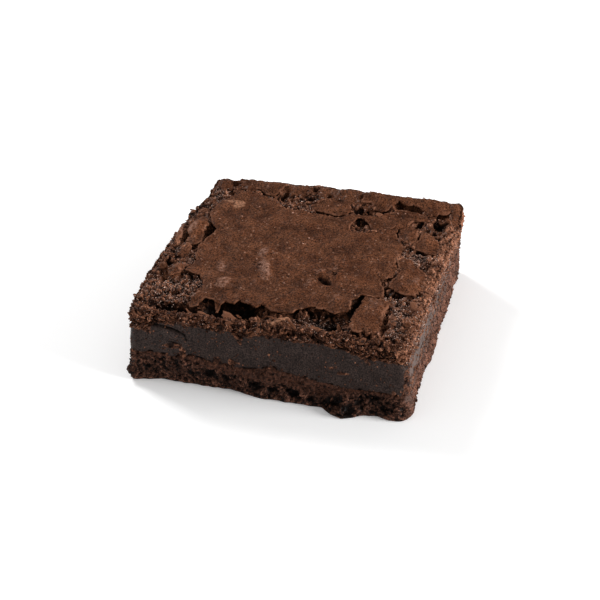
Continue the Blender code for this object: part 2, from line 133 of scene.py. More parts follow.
CRUST_SWELLS = (
    (-10, -1.5, 2.2, 3.4, 20, 0.6), (-8.3, -11, 1.8, 3.8, 25, 0.6), (9, -8.5, 3.4, 2.6, 0, 0.6),
    (-17.5, -20, 3.2, 2.6, 0, 0.5), (15, -21.5, 3, 2.2, 0, 0.5), (4, -18, 4.5, 3.4, 0, 0.35),
    (20, 9, 4, 4.5, 0, 0.4), (-22, 6, 6, 4, 0, 0.3), (-33.6, 9.2, 1.8, 4.2, 0, 0.9),
    (30, -7, 3.4, 4.4, 0, 0.35), (11, 38, 2.8, 2, 0, 0.5), (28.5, 38, 3, 2, 0, 0.5),
)

# Plan outlines of the crust's plates, with the finer turns of their edges that only the looks have.
MAIN_PLATE = (
    (-20.4, -28.2), (-18.4, -28.5), (-16.9, -29.2), (-16.2, -31.2), (-15.6, -33), (-15.2, -30.5),
    (-14.4, -29.3), (-11.6, -29.6), (-11, -27.5), (-9.6, -28.3), (-7, -29.1), (-5.6, -30.8), (-4.4, -28.2),
    (-2.6, -29.8), (0.2, -30.8), (1.4, -30.1), (4.2, -30.1), (4.6, -28.4), (6.6, -26.7), (9.6, -25.8),
    (10.4, -26.7), (12.2, -26.3), (14.8, -27.4), (16.2, -26.3), (18.8, -25.3), (18, -22.4), (17.9, -20),
    (19.4, -18.5), (20.4, -17.1), (22.8, -16.6), (25.5, -16), (25.1, -13.3), (24.2, -10.6), (22.7, -7.6),
    (22.5, -6.3), (24.6, -6), (26, -5.2), (25.9, -2.6), (26.2, -0.4), (25, 2.8), (24.6, 5.2), (25.4, 8.6),
    (25.1, 12), (24.5, 14.6), (22.4, 17.6), (21.6, 20), (21.8, 22.8), (24.3, 24.7), (24.9, 28.2), (27, 28.9),
    (29.8, 29.4), (28, 31), (25.6, 32.2), (23, 32.9), (20, 32.7), (17.6, 31.1), (15, 29.3), (13.4, 27.8),
    (10, 27.5), (7, 27.6), (5.2, 26.4), (3.6, 25.1), (1, 25.3), (-3, 25.9), (-8.4, 26.1), (-12.4, 26.2),
    (-14.4, 28.2), (-17.6, 30.2), (-21, 32.1), (-25, 32.9), (-29, 33.6), (-29.6, 31), (-30.6, 28.4),
    (-32.2, 25.4), (-33, 21.5), (-32.9, 18.6), (-31.4, 15.2), (-29.9, 11.8), (-28.2, 9.4), (-27.9, 6.3),
    (-28.8, 3.4), (-30.2, 0), (-30, -2.6), (-29.2, -7.4), (-28.7, -10.4), (-29.4, -13.4), (-29.6, -15.2),
    (-27.2, -16.4), (-25, -17), (-23.2, -19.8), (-22.6, -22.4), (-23.5, -24.2), (-22.8, -27), (-24.3, -30),
    (-23, -31.8), (-21.3, -31.4),
)
MAIN_PLATE_HOLE = (
    (10, 25.4), (9.2, 23.8), (8.4, 21), (8.7, 19.4), (9.6, 17.6), (11, 17.7), (13.6, 18.5), (16.1, 19.5),
    (14.2, 21.4), (12.2, 23.9), (11.1, 25.1),
)
SMALL_PLATES = {
    "right_back": (
        (22.9, 19.4), (22.8, 22), (24.6, 23.6), (26.8, 23.8), (28, 22.4), (28.3, 19.6), (28, 16.8),
        (27.2, 15.4), (25.8, 15.6), (24.4, 17),
    ),
    "right_back_rim": (
        (29.2, 21.3), (31.2, 21.6), (32.6, 19.6), (34.2, 17.8), (35.2, 14.6), (35.1, 10), (33, 10.3),
        (30.6, 11.8), (28.2, 13), (28, 15), (29.2, 17.6),
    ),
    "right": (
        (25.4, 4.8), (29.2, 5), (30.4, 2.6), (33, 0.6), (34.6, -1.4), (35.3, -6), (35.1, -10.6),
        (33.8, -13.3), (31, -13.1), (28.2, -12.2), (26.3, -10.6), (25.9, -8), (27.1, -4.6), (27.1, -0.6),
        (25.9, 2.6),
    ),
    "right_front": (
        (21.4, -18), (23.2, -18.3), (25.8, -17.2), (27.4, -19.2), (27.9, -20.8), (27.1, -23.6), (27.1, -26),
        (27.9, -29), (27.5, -32.6), (26, -33.9), (24.4, -33.2), (23.2, -34.6), (21.4, -34.2), (20.3, -33),
        (20, -28.5), (20.5, -24.4), (21, -21),
    ),
    "left_blister": (
        (-36.6, 12.6), (-34.9, 14.2), (-33, 14), (-32.6, 12.8), (-31.8, 12.3), (-31.2, 11), (-31.8, 9.4),
        (-31.1, 8.2), (-31.5, 6.4), (-30.8, 4.6), (-30.2, 1.4), (-31.2, 0), (-32.6, -0.6), (-33.8, 0.4),
        (-34.4, 2.8), (-35.4, 5.2), (-36.4, 8), (-37, 10.4),
    ),
    "left_rim": (
        (-38.9, 10.6), (-38.5, 5), (-38.3, 1.5), (-37.6, 0), (-36.8, 1.5), (-36.9, 3.5), (-37.2, 6),
        (-37.8, 8.6), (-38.3, 10.8),
    ),
    "back_right": (
        (8.5, 33.8), (11.5, 34.7), (13.5, 31.8), (16, 31.3), (18, 34.7), (19.5, 36.4), (22, 35), (24.5, 35.2),
        (28.5, 33.2), (29.5, 31.8), (34.6, 33.8), (34.9, 37.2), (30, 38.6), (9, 38.4),
    ),
    "back_middle": (
        (-5, 28.8), (-4.9, 31.4), (-2.8, 33.6), (3.2, 33.8), (5.9, 31.4), (6.4, 29.6), (5.2, 27.8),
        (3.4, 26.7), (1, 27), (-1.6, 27.5), (-4.4, 28),
    ),
    "back_left": (
        (-29.5, 36.2), (-24.5, 34.9), (-22, 34.7), (-19.8, 32.8), (-17.5, 32.6), (-16, 34.9), (-14.8, 37.4),
        (-16, 38.4), (-29, 38),
    ),
    "front_flake": (
        (-0.4, -37.8), (1.6, -36), (3.8, -33.9), (4.9, -34), (4.8, -35.2), (3, -36.9), (1.1, -38.5),
        (0, -38.9),
    ),
}

# Finer forms that only the looks have.
CAVITIES = (
    (-18, -29.6, 2.2, 5, 0, -1.8), (-9.6, -29.4, 5.2, 4.8, 0, -1.9), (-26.6, -32.8, 7, 2, 9, -4.2),
    (19.3, -21.5, 1.7, 5.2, 0, -1.9), (7, -35.8, 3.2, 1, -33, -3), (-5.6, -37.6, 0.9, 1.8, 10, -3),
    (15.2, -31, 1, 1.4, 0, -2.4), (-2.8, -33.6, 1.9, 1.1, -16, -1.8), (10, 24.6, 1.6, 1.2, 0, -1.2),
    (8.6, -11.7, 2, 1.5, -36, -1.6), (-29.2, -25.8, 0.9, 1, 0, -2), (-29.6, 7.5, 1.8, 5, 3, -1.6),
    (-30.2, 36.2, 1.2, 1, 0, -1.6), (-30.4, 32, 0.9, 0.9, 0, -1.3), (-6.4, 38.2, 0.9, 0.9, 0, -1.6),
    (-1.4, 35.6, 0.9, 0.8, 0, -1.6), (-11.8, 32, 0.6, 0.6, 0, -1.4), (-5.6, 33.2, 0.6, 0.6, 0, -1.4),
    (28.5, 18.4, 0.55, 3.6, 0, -1.7), (25.7, 1.2, 0.6, 4.2, 0, -1.6), (22.2, 19.6, 0.7, 3.4, 4, -1.8),
    (24.2, 24.5, 1.8, 0.5, 30, -1.4), (31.4, 10.6, 3.8, 0.6, -22, -1.5), (25.6, -11.4, 0.8, 3, 10, -1.3),
    (30, -13.6, 3.6, 0.5, -6, -1.3), (20, 35.2, 1.7, 1.4, 0, -2), (24.4, 34, 2.8, 1.3, -8, -2),
    (12.8, 31, 5, 1.2, 4, -1.8), (0.6, 26.6, 6.4, 0.6, 4, -1.4), (28.6, 21, 0.5, 2.6, 0, -1.3),
    (33.6, 26.6, 2, 1.3, 20, -1.4), (-36.4, -11.4, 0.9, 1.8, 0, -1.4), (-34.4, -18, 0.7, 4.6, 0, -1.3),
    (-30.4, -17.6, 0.6, 2.6, 0, -1), (28.6, -36.2, 6.4, 1, -4, -1.4), (26.2, -35.6, 4.4, 0.9, 0, -1),
    (24, -37, 3.4, 1, 0, -1), (-14.6, 34.2, 0.8, 1.8, 0, -1.2), (28.5, -27, 0.9, 6.4, 3, -2),
)
EDGE_LIFTS = (
    (-2, -29, 21, 4.5, 0, 1), (19, -21, 3, 7, 0, 0.9), (-29, 7, 2.6, 8, 0, 0.8), (10.5, 24, 4, 4, 0, 0.6),
    (26, -12, 2, 5, 0, 0.5), (22, -18, 4, 2, 0, 0.7),
)
SHEEN_BUMPS = (
    (-21.2, -10, 0.9, 3, 8, 0.4), (-17, -19, 1.6, 2.2, 0, 0.5), (-8.9, -8.2, 1.3, 3.6, 20, 0.85),
    (-7.2, -13.2, 0.8, 2.2, 14, 0.25), (-11.1, -7.6, 0.7, 1, 0, 0.5), (-11, -1, 1.5, 2.4, 12, 0.75),
    (-11.5, -10.8, 0.5, 0.8, 0, 0.35), (6.9, -8.6, 0.9, 1.5, 0, 0.9), (8.5, -6.9, 0.9, 1.7, 0, -0.35),
    (11.6, -8.6, 0.45, 1.9, -6, 0.6), (11.8, -5.6, 1.1, 0.5, 20, 0.5), (10.2, -3.4, 0.6, 0.7, 0, 0.3),
    (13.6, -20.6, 0.8, 2.4, 14, 0.5), (5, -15.4, 0.8, 2.4, 0, 0.45), (33, -6.8, 0.8, 2.2, -12, 0.3),
    (31, -6.6, 1.2, 2, 0, -0.25), (28, -7.6, 0.5, 0.8, 0, 0.25), (-34.4, 7.2, 2.1, 3.6, 4, 1.2),
    (-32, 10.6, 0.7, 1.6, 20, 0.6), (-31.8, 6, 0.5, 1.4, 0, 0.3), (-37.7, 5.4, 0.9, 5.2, 3, 1),
    (-3.1, -15.2, 0.5, 0.7, 0, 0.45), (-12.2, -20.8, 0.4, 0.7, 0, 0.45), (-11.6, -23.4, 0.7, 0.5, 0, 0.4),
    (-14.6, -25.5, 0.5, 1.4, 0, 0.4), (-20.7, -21.8, 0.4, 0.9, 0, 0.4), (2.7, -12.6, 0.4, 0.5, 0, 0.4),
    (8.6, -2, 0.4, 0.6, 0, 0.35), (25.6, -22.5, 2, 3.4, 0, 0.2), (31.2, 17, 0.7, 1, 0, 0.5),
    (20.2, 30.8, 0.5, 0.6, 0, 0.4), (-22.3, -3.3, 0.4, 0.6, 0, 0.35), (-26.9, -9.5, 0.5, 0.5, 0, 0.4),
    (-23.1, 17, 0.6, 0.8, 0, 0.45),
)
CRUST_PITS = (
    (9, -12.2, 1.7, 0.9, -36, -1.2), (7, -11, 0.7, 0.7, 0, -0.9), (10.6, -8, 0.5, 0.9, 0, -0.8),
    (-13.4, -23.8, 0.35, 0.45, 0, -0.6), (-10.4, -7.9, 0.3, 0.9, 0, -0.3), (-18.3, 24, 0.3, 0.7, 15, -0.3),
    (2.4, 16.9, 1.3, 0.25, -4, -0.3), (-2.6, 18.2, 1, 0.22, 12, -0.25), (20.8, 10.6, 1.2, 0.35, -18, -0.2),
    (-16.6, -6, 0.5, 0.5, 0, -0.2), (-6, -6.5, 0.4, 0.7, 0, -0.3),
)
DROOPS = ((-15.9, -32.2, 1.2, 2.2, 0, 1), (-23.2, -31, 2, 1.6, 0, 0.9))
RAISED_FLAKE = (2.4, -36.6, 3.8, 2.2, 45, 1)
# Where the crumb wears a skin of crust.
SKINS = (
    (-32, -15.8, 1.4, 3.9, 0, 1), (-36.3, -14.8, 1, 1.8, 0, 1), (-33.2, -4.4, 1.7, 3.8, 0, 0.9),
    (-34.6, 16.4, 1.6, 2.4, 0, 0.9), (-34.4, 27, 1.8, 2, 0, 0.5), (-33.6, 34, 2, 3.4, 0, 0.6),
    (-23.5, -30.8, 1.6, 1.2, 0, 0.9), (-18.6, -37, 2.6, 0.9, 0, 0.8), (-12.2, -34.4, 1.7, 1.4, -50, 0.7),
    (34.2, -19.2, 1.1, 1.9, 20, 1), (34.6, -28.4, 1, 1.2, 0, 0.9), (36.6, 33, 1.6, 5.5, 0, 0.9),
    (14, 33.4, 7, 1.6, 0, 0.5), (-10, 36.8, 5, 2.4, 0, 0.7), (2, 38.4, 8, 1.6, 0, 0.8),
    (-24, 38.6, 8, 1.4, 0, 0.9), (22, 38.8, 13, 1.5, 0, 0.9), (31.5, 25.6, 1.2, 1.2, 0, 0.6),
    (-36.6, 22, 1.4, 8, 0, 0.4), (32.5, -15.6, 1.4, 1.2, 0, 0.5),
)
# Light patches: painted sheen highlights on the crust, and where it has flaked off pale.
SHEENS = (
    (-34.8, 6.8, 1.5, 2.6, 0, 1), (-37.6, 5.4, 1.2, 5, 3, 0.9), (-9.2, -9, 1.6, 3.8, 20, 0.85),
    (-7.4, -13.8, 1.6, 2.4, 14, 0.5), (-17.4, -20, 2, 2.8, 0, 0.7), (-20.6, -11.4, 1.3, 3.2, 8, 0.6),
    (-11.4, -1.4, 1.5, 2.4, 12, 0.75), (6.4, -7.6, 1.1, 2, 0, 0.6), (9.8, -4.4, 0.7, 1.8, 0, 0.5),
    (13, -20, 1.4, 3, 14, 0.3), (4.4, -14.6, 1.4, 3, 0, 0.3), (32.6, -6.4, 0.9, 2.6, -12, 0.5),
    (24.6, -21.5, 1.8, 4, 0, 0.35), (10.4, 39, 1.6, 1, 0, 0.7), (-20, 40, 5, 1, 0, 0.3),
)
PALE_PATCHES = ((-26, 25, 1.8, 2.6, -10, 1), (-28.9, 26.6, 2.4, 0.9, 4, 1), (2.4, -36.6, 4, 1.8, 45, 0.9))
# Lumps of skinned crumb: (x, y, length, width, height, turn, depth sunk).
PEBBLES = (
    (-36.2, -14.9, 2.2, 3.6, 1.8, 8, 0.2), (-32.2, -16.4, 2.8, 6.6, 2, -14, 0.3),
    (-33.4, -3.4, 2.6, 4.6, 1.9, -20, 0.4), (-31.4, -7.6, 2.2, 2.6, 1.5, 0, 0.4),
    (-35.6, -1.6, 2, 3, 1.6, 10, 0.4), (-34.4, 16.4, 3.6, 3.4, 1.4, 0, 0.4), (-36, 20, 2.2, 4.4, 1.5, 0, 0.4),
    (34.2, -19.4, 2, 3.6, 1.2, 24, 0.2), (34.4, -28.6, 2, 2.4, 1.2, 0, 0.3),
    (31.4, -25.4, 3.4, 3.4, 1.4, 0, 0.6), (-23.4, -36.4, 3.4, 1.7, 1.4, 0, 0.5),
    (-4.8, -34.4, 2.4, 2.6, 1.6, 20, 0.5), (14.6, -33.6, 2.2, 2, 1.3, 0, 0.5),
    (33.6, 24, 2, 1.8, 1.2, 0, 0.4), (-35.2, 29.6, 2.2, 2.6, 1.3, 0, 0.5), (2.6, -33.2, 2.4, 2, 1.2, 0, 0.5),
)
GRAINY_PATCHES = (
    (-29.4, -23.6, 6.8, 7.4, 0, 1), (30, -15, 3.6, 2.2, 0, 0.8), (31.5, -21, 3.4, 4.2, 0, 0.6),
    (32.5, -30.5, 2.4, 3.8, 0, 0.7), (30.5, 6.5, 5, 4.6, -20, 0.6), (9.8, -30.8, 5.6, 2.8, -8, 0.4),
    (-33.5, 31, 2.4, 5, 0, 0.8), (-30, -8, 2, 3, 0, 0.4),
)
# Flakes that the photograph shows standing on the brownie: (x, y, length, width, turn, tilt).
PLACED_FLAKES = (
    (-11.5, -34.9, 5.4, 2.2, -18, 10), (-8.3, -36.6, 1.6, 1.2, 10, 30), (-6.6, -35.4, 2.4, 0.7, 78, 38),
    (-3, -34.8, 2.4, 1.2, 60, 20), (-0.6, -33, 2, 1, 10, 16), (4.9, -38, 4.6, 0.9, -38, 14),
    (6.3, -38, 4.4, 0.8, -42, 16), (-2.6, -38.2, 3, 0.8, -68, 26), (16.6, -29.6, 2.8, 1, 62, 34),
    (19.3, -30, 3.4, 0.9, 84, 40), (17.4, -32.4, 2.4, 1, -60, 26), (12.4, -37.4, 3.6, 1, 12, 20),
    (24.6, -31.4, 1.6, 0.8, 40, 28), (29.6, -37.8, 2.6, 0.8, 84, 30), (-18.4, -36.9, 2.4, 1, 4, 14),
    (-22.4, -35.6, 2, 0.9, -30, 26), (20.2, 22.6, 3, 1.4, 70, 4), (14.9, 28.7, 2, 1.4, 20, 8),
    (34.4, -19.2, 3.2, 1.7, -64, 12), (34.7, -28.4, 1.9, 1.7, 0, 14), (31, -29.4, 2, 0.9, 60, 30),
    (-25.2, -28.4, 1.8, 0.8, 20, 20), (36.4, -11.8, 1.6, 0.8, 80, 40), (35.4, 29, 2.2, 1.2, -40, 30),
    (9.9, -7, 2.6, 0.8, 84, 30), (8.6, -5.2, 1.8, 0.7, 10, 22), (9.9, -10.6, 1.5, 0.6, -60, 28),
    (11.8, -6, 1.6, 0.5, 60, 20), (-12, -6.8, 1.6, 0.6, 20, 24), (-13.2, -4.6, 1.8, 0.7, -40, 20),
    (22, -34.9, 1.8, 0.8, 70, 36), (24.9, -33.8, 1.6, 0.8, -70, 30), (-21.2, -30.4, 2.2, 0.7, 75, 30),
)
# Light crumbs baked onto the crust: (x, y, size).
CRUST_SPECKS = (
    (-27, -9.5, 0.5), (-31, 18.6, 0.35), (-29.2, 17.4, 0.45), (-25, 18, 0.4), (-23.1, 17.1, 0.6),
    (-16, 15.8, 0.4), (-18, 16.1, 0.35), (-29, 14.9, 0.35), (-9.6, 23.8, 0.4), (-8.6, 23.5, 0.4),
    (-5.6, 23.8, 0.4), (-21.2, 25.8, 0.35), (-20, 25.4, 0.35), (-1.4, 10.6, 0.5), (-3.1, 6.2, 0.4),
    (-2, 6.2, 0.4), (18, 18.6, 0.5), (16.1, 3.9, 0.4), (20.2, 30.6, 0.5), (18.2, 28.1, 0.4), (5.6, 27, 0.5),
    (22.2, 31.4, 0.3), (13.4, 2.4, 0.4), (8, 7.6, 0.35), (20.6, 2.2, 0.4), (-12.4, 14.1, 0.35),
    (-26.4, 12.2, 0.35), (-19.2, 1.6, 0.35), (-21.2, 0.4, 0.4), (11.6, -17.6, 0.4), (18.4, -18.2, 0.5),
    (-10.2, -18.4, 0.4), (-9, -26.8, 0.4), (-14.6, -9.8, 0.4), (4.6, -0.6, 0.4), (-8, -4.2, 0.4),
    (26.2, 39, 0.5), (32.4, -3.6, 0.4), (29.4, -9.2, 0.35), (8.8, -2.5, 0.45), (10.3, -4.4, 0.45),
    (-12.1, -21.5, 0.5), (-1.7, -16.1, 0.6), (2.8, -13.1, 0.45), (0, -22.4, 0.5), (-20.4, -22.4, 0.6),
    (-10.7, -8.1, 0.6), (-12.3, -5.3, 0.5), (-10.9, -11.4, 0.45), (10.3, -7.5, 0.5), (6.9, -9, 0.7),
)
# Crumbs stuck to the fudge's front: (x, z, size).
FUDGE_SPECKS = (
    (3.6, 14, 0.45), (0.5, 16.5, 0.4), (18.3, 13.7, 0.5), (20.2, 15, 0.4), (20.4, 16, 0.35),
    (23.8, 12.5, 0.35), (27.8, 13.2, 0.4), (30.3, 10.6, 0.4), (31.9, 11.1, 0.35), (16.2, 18.5, 0.4),
    (25.3, 15.2, 0.6), (26.6, 16.1, 0.5), (-3.3, 15.4, 0.5), (-4.9, 16.6, 0.55), (-9.8, 10.2, 0.6),
    (-9.3, 9.4, 0.6), (-17.2, 8.8, 0.3), (-18.3, 16.9, 0.5), (-12.5, 15, 0.4), (-14.3, 10.2, 0.5),
    (-13.6, 9.4, 0.6), (-15.5, 15, 0.3), (-23.2, 12.3, 0.5), (-22.4, 12.9, 0.4), (-28, 13.4, 0.5),
    (-27, 12, 0.5), (-26.4, 11.2, 0.5), (-33, 16.6, 0.6), (-31.9, 15.7, 0.6), (10.7, 14.4, 0.3),
    (6.2, 14.2, 0.3), (32, 13.7, 0.3), (24.4, 14, 0.3), (13.4, 10.8, 0.4), (15.6, 12.2, 0.5),
    (16.8, 11.8, 0.5), (14.2, 12, 0.4), (19, 10.6, 0.4), (21.6, 10.8, 0.4), (8.3, 17.6, 0.3),
)
# Forms on the front face, in x and z: crumb smeared over the fudge, fudge over the base, pits, a tear.
FUDGE_SMEARS = (
    (-26.4, 12.2, 2.8, 1.2, 10, 1.1), (-32.8, 16.2, 2.6, 0.9, -28, 1.1), (-28, 16.9, 3.2, 0.5, 0, 0.9),
    (-7.8, 17, 2.4, 0.65, -60, 1.4), (15.4, 11.8, 2.2, 0.8, 4, 0.9), (20.5, 10.8, 2.4, 0.5, 0, 0.9),
    (-15, 16.2, 2.2, 0.35, 4, 0.7), (-23, 11, 1, 2, 20, 1), (-13.6, 9.2, 1, 1.5, 0, 1),
    (-9.7, 9.6, 0.8, 1.4, 20, 1.2), (11, 11.2, 0.9, 0.7, 0, 0.6), (8, 19, 1.2, 0.5, 0, 0.8),
)
SMEAR_FOOT = (
    (-38, 8.4), (-24, 8.6), (-18, 7), (-12, 5.9), (-9, 5.2), (-6, 4.6), (0, 5), (5, 4.6), (8, 4), (11, 2.6),
    (14, 3), (16, 3.4), (18, 4.6), (20, 5.2), (26, 5.6), (38, 5.2),
)
BASE_PITS = (
    (-33.3, 4.6, 0.8, 0.6, 0, -1.2), (-29.2, 7.6, 1.1, 0.6, 0, -1), (-21, 4.2, 1.1, 0.8, 0, -1.2),
    (-15.6, 5, 1.5, 1.3, 30, -1.6), (-11.2, 4, 1, 0.9, 0, -1.1), (-3.3, 3.6, 1.6, 1.1, 0, -1.5),
    (7.2, 3, 1.7, 1.2, 0, -1.5), (18.2, 3.2, 2, 0.9, 10, -1.6), (22.6, 1.4, 1.6, 1.6, 0, -1.5),
    (28.6, 5, 2, 0.6, 0, -1.2), (15.8, 1.6, 1, 0.9, 0, -1.3), (36.6, 3.2, 0.6, 0.7, 0, -1),
    (-24.8, 6.2, 0.8, 0.7, 0, -1), (-31, 2.6, 0.8, 0.6, 0, -0.9), (1.5, 3.2, 1.1, 0.8, 0, -1.1),
    (25.2, 3.8, 1.2, 0.7, 20, -1.1), (31.6, 2.6, 1, 0.8, 0, -1.1), (11.8, 2, 1.1, 0.7, 0, -1),
)
TEAR_LINE = (
    (-33.5, 17.6), (-31.8, 18), (-28.6, 17.9), (-26.2, 17.6), (-24, 16.8), (-22.5, 16.1), (-21.9, 14.4),
)
FUDGE_LIP = (-25.3, 13.4, 1.5, 0.22, -14, 1)

# Steps of the meshes, and how far the layers reach under each other.
RING_STEP = 0.26
WALL_ROW = 0.26
CRUMB_STEP = 0.27
HIDDEN_STEP = 1.3
HIDDEN_INSET = 1.4
CRUST_STEP = 0.36
CRUST_THICKNESS = 0.5
CAP_STEP = 4.0
ROW_SHARE = 0.87
JITTER = 0.22
PLATE_EDGE_STEP = 0.25
PLATE_EDGE_WANDER = 0.22
PLATE_GROWTH = 0.18
LAYER_LAP = 0.5

# The photograph's camera, found from the block's corners: angles in degrees, distances in millimetres.
CAMERA_TURN = 14.34
CAMERA_LIFT = 30.855
CAMERA_DISTANCE = 472.37
CAMERA_ASIDE = -1.275
CAMERA_RAISED = 5.84
CAMERA_LENS = 99.876
SENSOR_WIDTH = 36

# Loose crumbs of each kind: how many, their typical and largest size, and the seed of their draws.
TOP_CRUMBS = (3200, 0.17, 0.75, 121)
GLINTS = (5200, 0.05, 0.19, 125)
BASE_CRUMBS = (4200, 0.16, 0.5, 131)
FUDGE_CRUMBS = (1300, 0.13, 0.45, 141)
RANDOM_SPECKS = 300
RANDOM_FLAKES = 230
CRUMB_KINDS = 8
CRUMB_FINENESS = 1
PEBBLE_FINENESS = 4
FLAKE_SIDES = 14

# Colours as linear red, green and blue. A crumb has one for its clefts, its body and its crowns: the cleft
# colour is painted shade and the crown colour a painted highlight.
CRUMB_COLOURS = {
    "top_crumb": ((0.015, 0.0056, 0.003), (0.095, 0.0365, 0.019), (0.24, 0.105, 0.06)),
    "base_crumb": ((0.004, 0.0019, 0.0013), (0.041, 0.0168, 0.0102), (0.128, 0.056, 0.036)),
    "base_grain": ((0.008, 0.0034, 0.0022), (0.042, 0.017, 0.0104), (0.14, 0.0615, 0.04)),
    "loose_crumb": ((0.032, 0.012, 0.0064), (0.086, 0.033, 0.0178), (0.2, 0.086, 0.049)),
    "baked_speck": ((0.11, 0.048, 0.029), (0.19, 0.092, 0.06), (0.3, 0.165, 0.12)),
    # Pale crumbs that are painted glints.
    "crumb_glint": ((0.16, 0.086, 0.062), (0.32, 0.2, 0.158), (0.54, 0.39, 0.32)),
    "on_fudge": ((0.014, 0.0052, 0.0028), (0.075, 0.029, 0.0155), (0.18, 0.077, 0.044)),
}
# Painted shade, near black, for the deep hollows under the crust.
HOLLOW_SHADE = (0.004, 0.0017, 0.001)
BASE_SMEAR = (0.06, 0.0245, 0.015)
CRUST_DARK = (0.047, 0.0154, 0.0068)
CRUST_LIGHT = (0.101, 0.0385, 0.0187)
CRUST_PORE = tuple(0.3 * part for part in CRUST_DARK)
CRUST_FLECK = (0.235, 0.12, 0.078)
# Light flecks of the crust, and the painted highlight of its plates' rims.
CRUST_RIM_LIGHT_AND_FLECK = (0.195, 0.084, 0.048)
# Painted sheen highlight of the crust's bumps.
CRUST_SHEEN = (0.3, 0.16, 0.115)
# Painted shade, near black, for the crust's pits.
CRUST_PIT_SHADE = (0.01, 0.004, 0.0024)
CRUST_PALE = (0.23, 0.108, 0.062)
FUDGE_DARK = (0.0225, 0.0142, 0.012)
FUDGE_LIGHT = (0.0345, 0.0224, 0.019)
# Painted light: the lighter, greyer colour of the cut faces turned to the right.
FUDGE_RIGHT_FACE_LIGHT = (0.078, 0.0495, 0.0402)
FUDGE_FLECK = (0.14, 0.056, 0.033)
# Painted shade, near black, for the fudge's tear groove, under its lip and in its torn pockets.
FUDGE_GROOVE_SHADE = (0.003, 0.0015, 0.001)

# The studio: each light's name, place in metres, size and power, and the inputs of the world and the floor.
LIGHTS = (("key_right", (1, -0.05, 0.3), 0.5, 15), ("key_back_left", (-0.85, 0.6, 0.7), 0.4, 12))
WORLD = {"Color": (1, 1, 1), "Strength": 0.48}
FLOOR = {"Base Color": (0.93, 0.93, 0.93), "Roughness": 0.9,
         "Emission Color": (1, 1, 1), "Emission Strength": 0.15}
FLOOR_HALF = 3
FLOOR_DROP = 0.0002


# Numbers

def smooth(low, high, value):
    """From 0 at the low value to 1 at the high one, with soft turns at both."""
    share = np.clip((value - low) / (high - low), 0, 1)
    return share * share * (3 - 2 * share)


def along(table, place):
    """The value of a (place, value) table at each place, with straight runs between its points."""
    return np.interp(place, *zip(*table))


def noise_places(points, cell, seed):
    return (points / cell + seed * NOISE_SHIFT).tolist()


def rough(points, cell, seed):
    """Gradient noise from about -1 to 1 at points of three coordinates, with swells about one cell across."""
    return np.array([noise.noise(place) for place in noise_places(points, cell, seed)])


def fractal(points, cell, octaves, seed):
    """Gradient noise with finer and finer swells added, from about -1 to 1."""
    return np.array([noise.fractal(place, 1, 2, octaves) for place in noise_places(points, cell, seed)])


def grains(points, cell, seed, stagger):
    """Rounded grains a cell across, from about 1 on a crown to -0.5 in a cleft, at staggered heights."""
    heights = []
    for place in noise_places(points, cell, seed):
        distances, centres = noise.voronoi(place)
        heights.append(1 - (distances[0] / 0.75) ** 2 + stagger * noise.cell(centres[0]))
    return np.array(heights)


def flat(x, y):
    return np.column_stack([x, y, np.zeros(len(x))])


def relief(x, y, features):
    """The summed height of flat-topped oval features, each (x, y, half length, half width, turn, height)."""
    total = np.zeros(len(x))
    for middle_x, middle_y, half_x, half_y, turn, height in features:
        angle = np.radians(turn)
        run = ((x - middle_x) * np.cos(angle) + (y - middle_y) * np.sin(angle)) / half_x
        rise = ((y - middle_y) * np.cos(angle) - (x - middle_x) * np.sin(angle)) / half_y
        total += height * np.exp(-(run ** 2 + rise ** 2) ** 1.5)
    return total


# The brownie's form, as in the solids

def back_rise(y):
    return BACK_RISE * smooth(BACK_RISE_FROM, BACK_RISE_TO, y)


def crumb_height(x, y):
    bumps = 0.45 * rough(flat(x, y), 4.5, 1) + 0.45 * rough(flat(x, y), 2.4, 2)
    hollow = np.maximum(relief(x, y, HOLLOWS), -DEEPEST_HOLLOW)
    return CRUMB_LEVEL + hollow + relief(x, y, LUMPS) + back_rise(y) + bumps


def crust_height(x, y):
    bumps = 0.45 * rough(flat(x, y), 11, 3) + 0.18 * rough(flat(x, y), 4.5, 4)
    return CRUST_LEVEL + relief(x, y, CRUST_SWELLS) + back_rise(y) + bumps


def layer_height(x, y, front, right, inside_level, reach):
    """A layer boundary: it follows the two profiles at the cut faces and settles to one level inside."""
    near_front = np.exp(-((y - FRONT) / reach) ** 2)
    near_right = np.exp(-((x - RIGHT) / reach) ** 2)
    near_inside = 0.02 + (1 - near_front) * (1 - near_right)
    total = near_front * along(front, x) + near_right * along(right, y) + near_inside * inside_level
    return total / (near_front + near_right + near_inside)


def base_top(x, y):
    return layer_height(x, y, BASE_TOP_FRONT, BASE_TOP_RIGHT, BASE_TOP_INSIDE, BASE_REACH)


def fudge_top(x, y):
    return layer_height(x, y, FUDGE_TOP_FRONT, FUDGE_TOP_RIGHT, FUDGE_TOP_INSIDE, FUDGE_REACH)


def block_ring(ring_step):
    """Plan points and outward directions round the cut block, anticlockwise from its front left corner."""
    corners = ((LEFT, FRONT, 180), (RIGHT, FRONT, 270), (RIGHT, BACK, 0), (LEFT, BACK, 90))
    sides = (RIGHT - LEFT, BACK - FRONT) * 2
    places, outwards = [], []
    arc_points = max(4, round(CORNER_RADIUS * 1.5 / ring_step))
    for (corner_x, corner_y, start), side in zip(corners, sides):
        middle = np.array([corner_x, corner_y]) - CORNER_RADIUS * np.sign([corner_x, corner_y])
        for angle in np.radians(np.linspace(start, start + 90, arc_points)):
            outward = np.array([np.cos(angle), np.sin(angle)])
            places.append(middle + CORNER_RADIUS * outward)
            outwards.append(outward)
        straight = side - 2 * CORNER_RADIUS
        onward = np.array([-outward[1], outward[0]])
        steps = int(np.ceil(straight / ring_step))
        for step in range(1, steps):
            places.append(middle + CORNER_RADIUS * outward + onward * straight * step / steps)
            outwards.append(outward)
    return np.array(places), np.array(outwards)


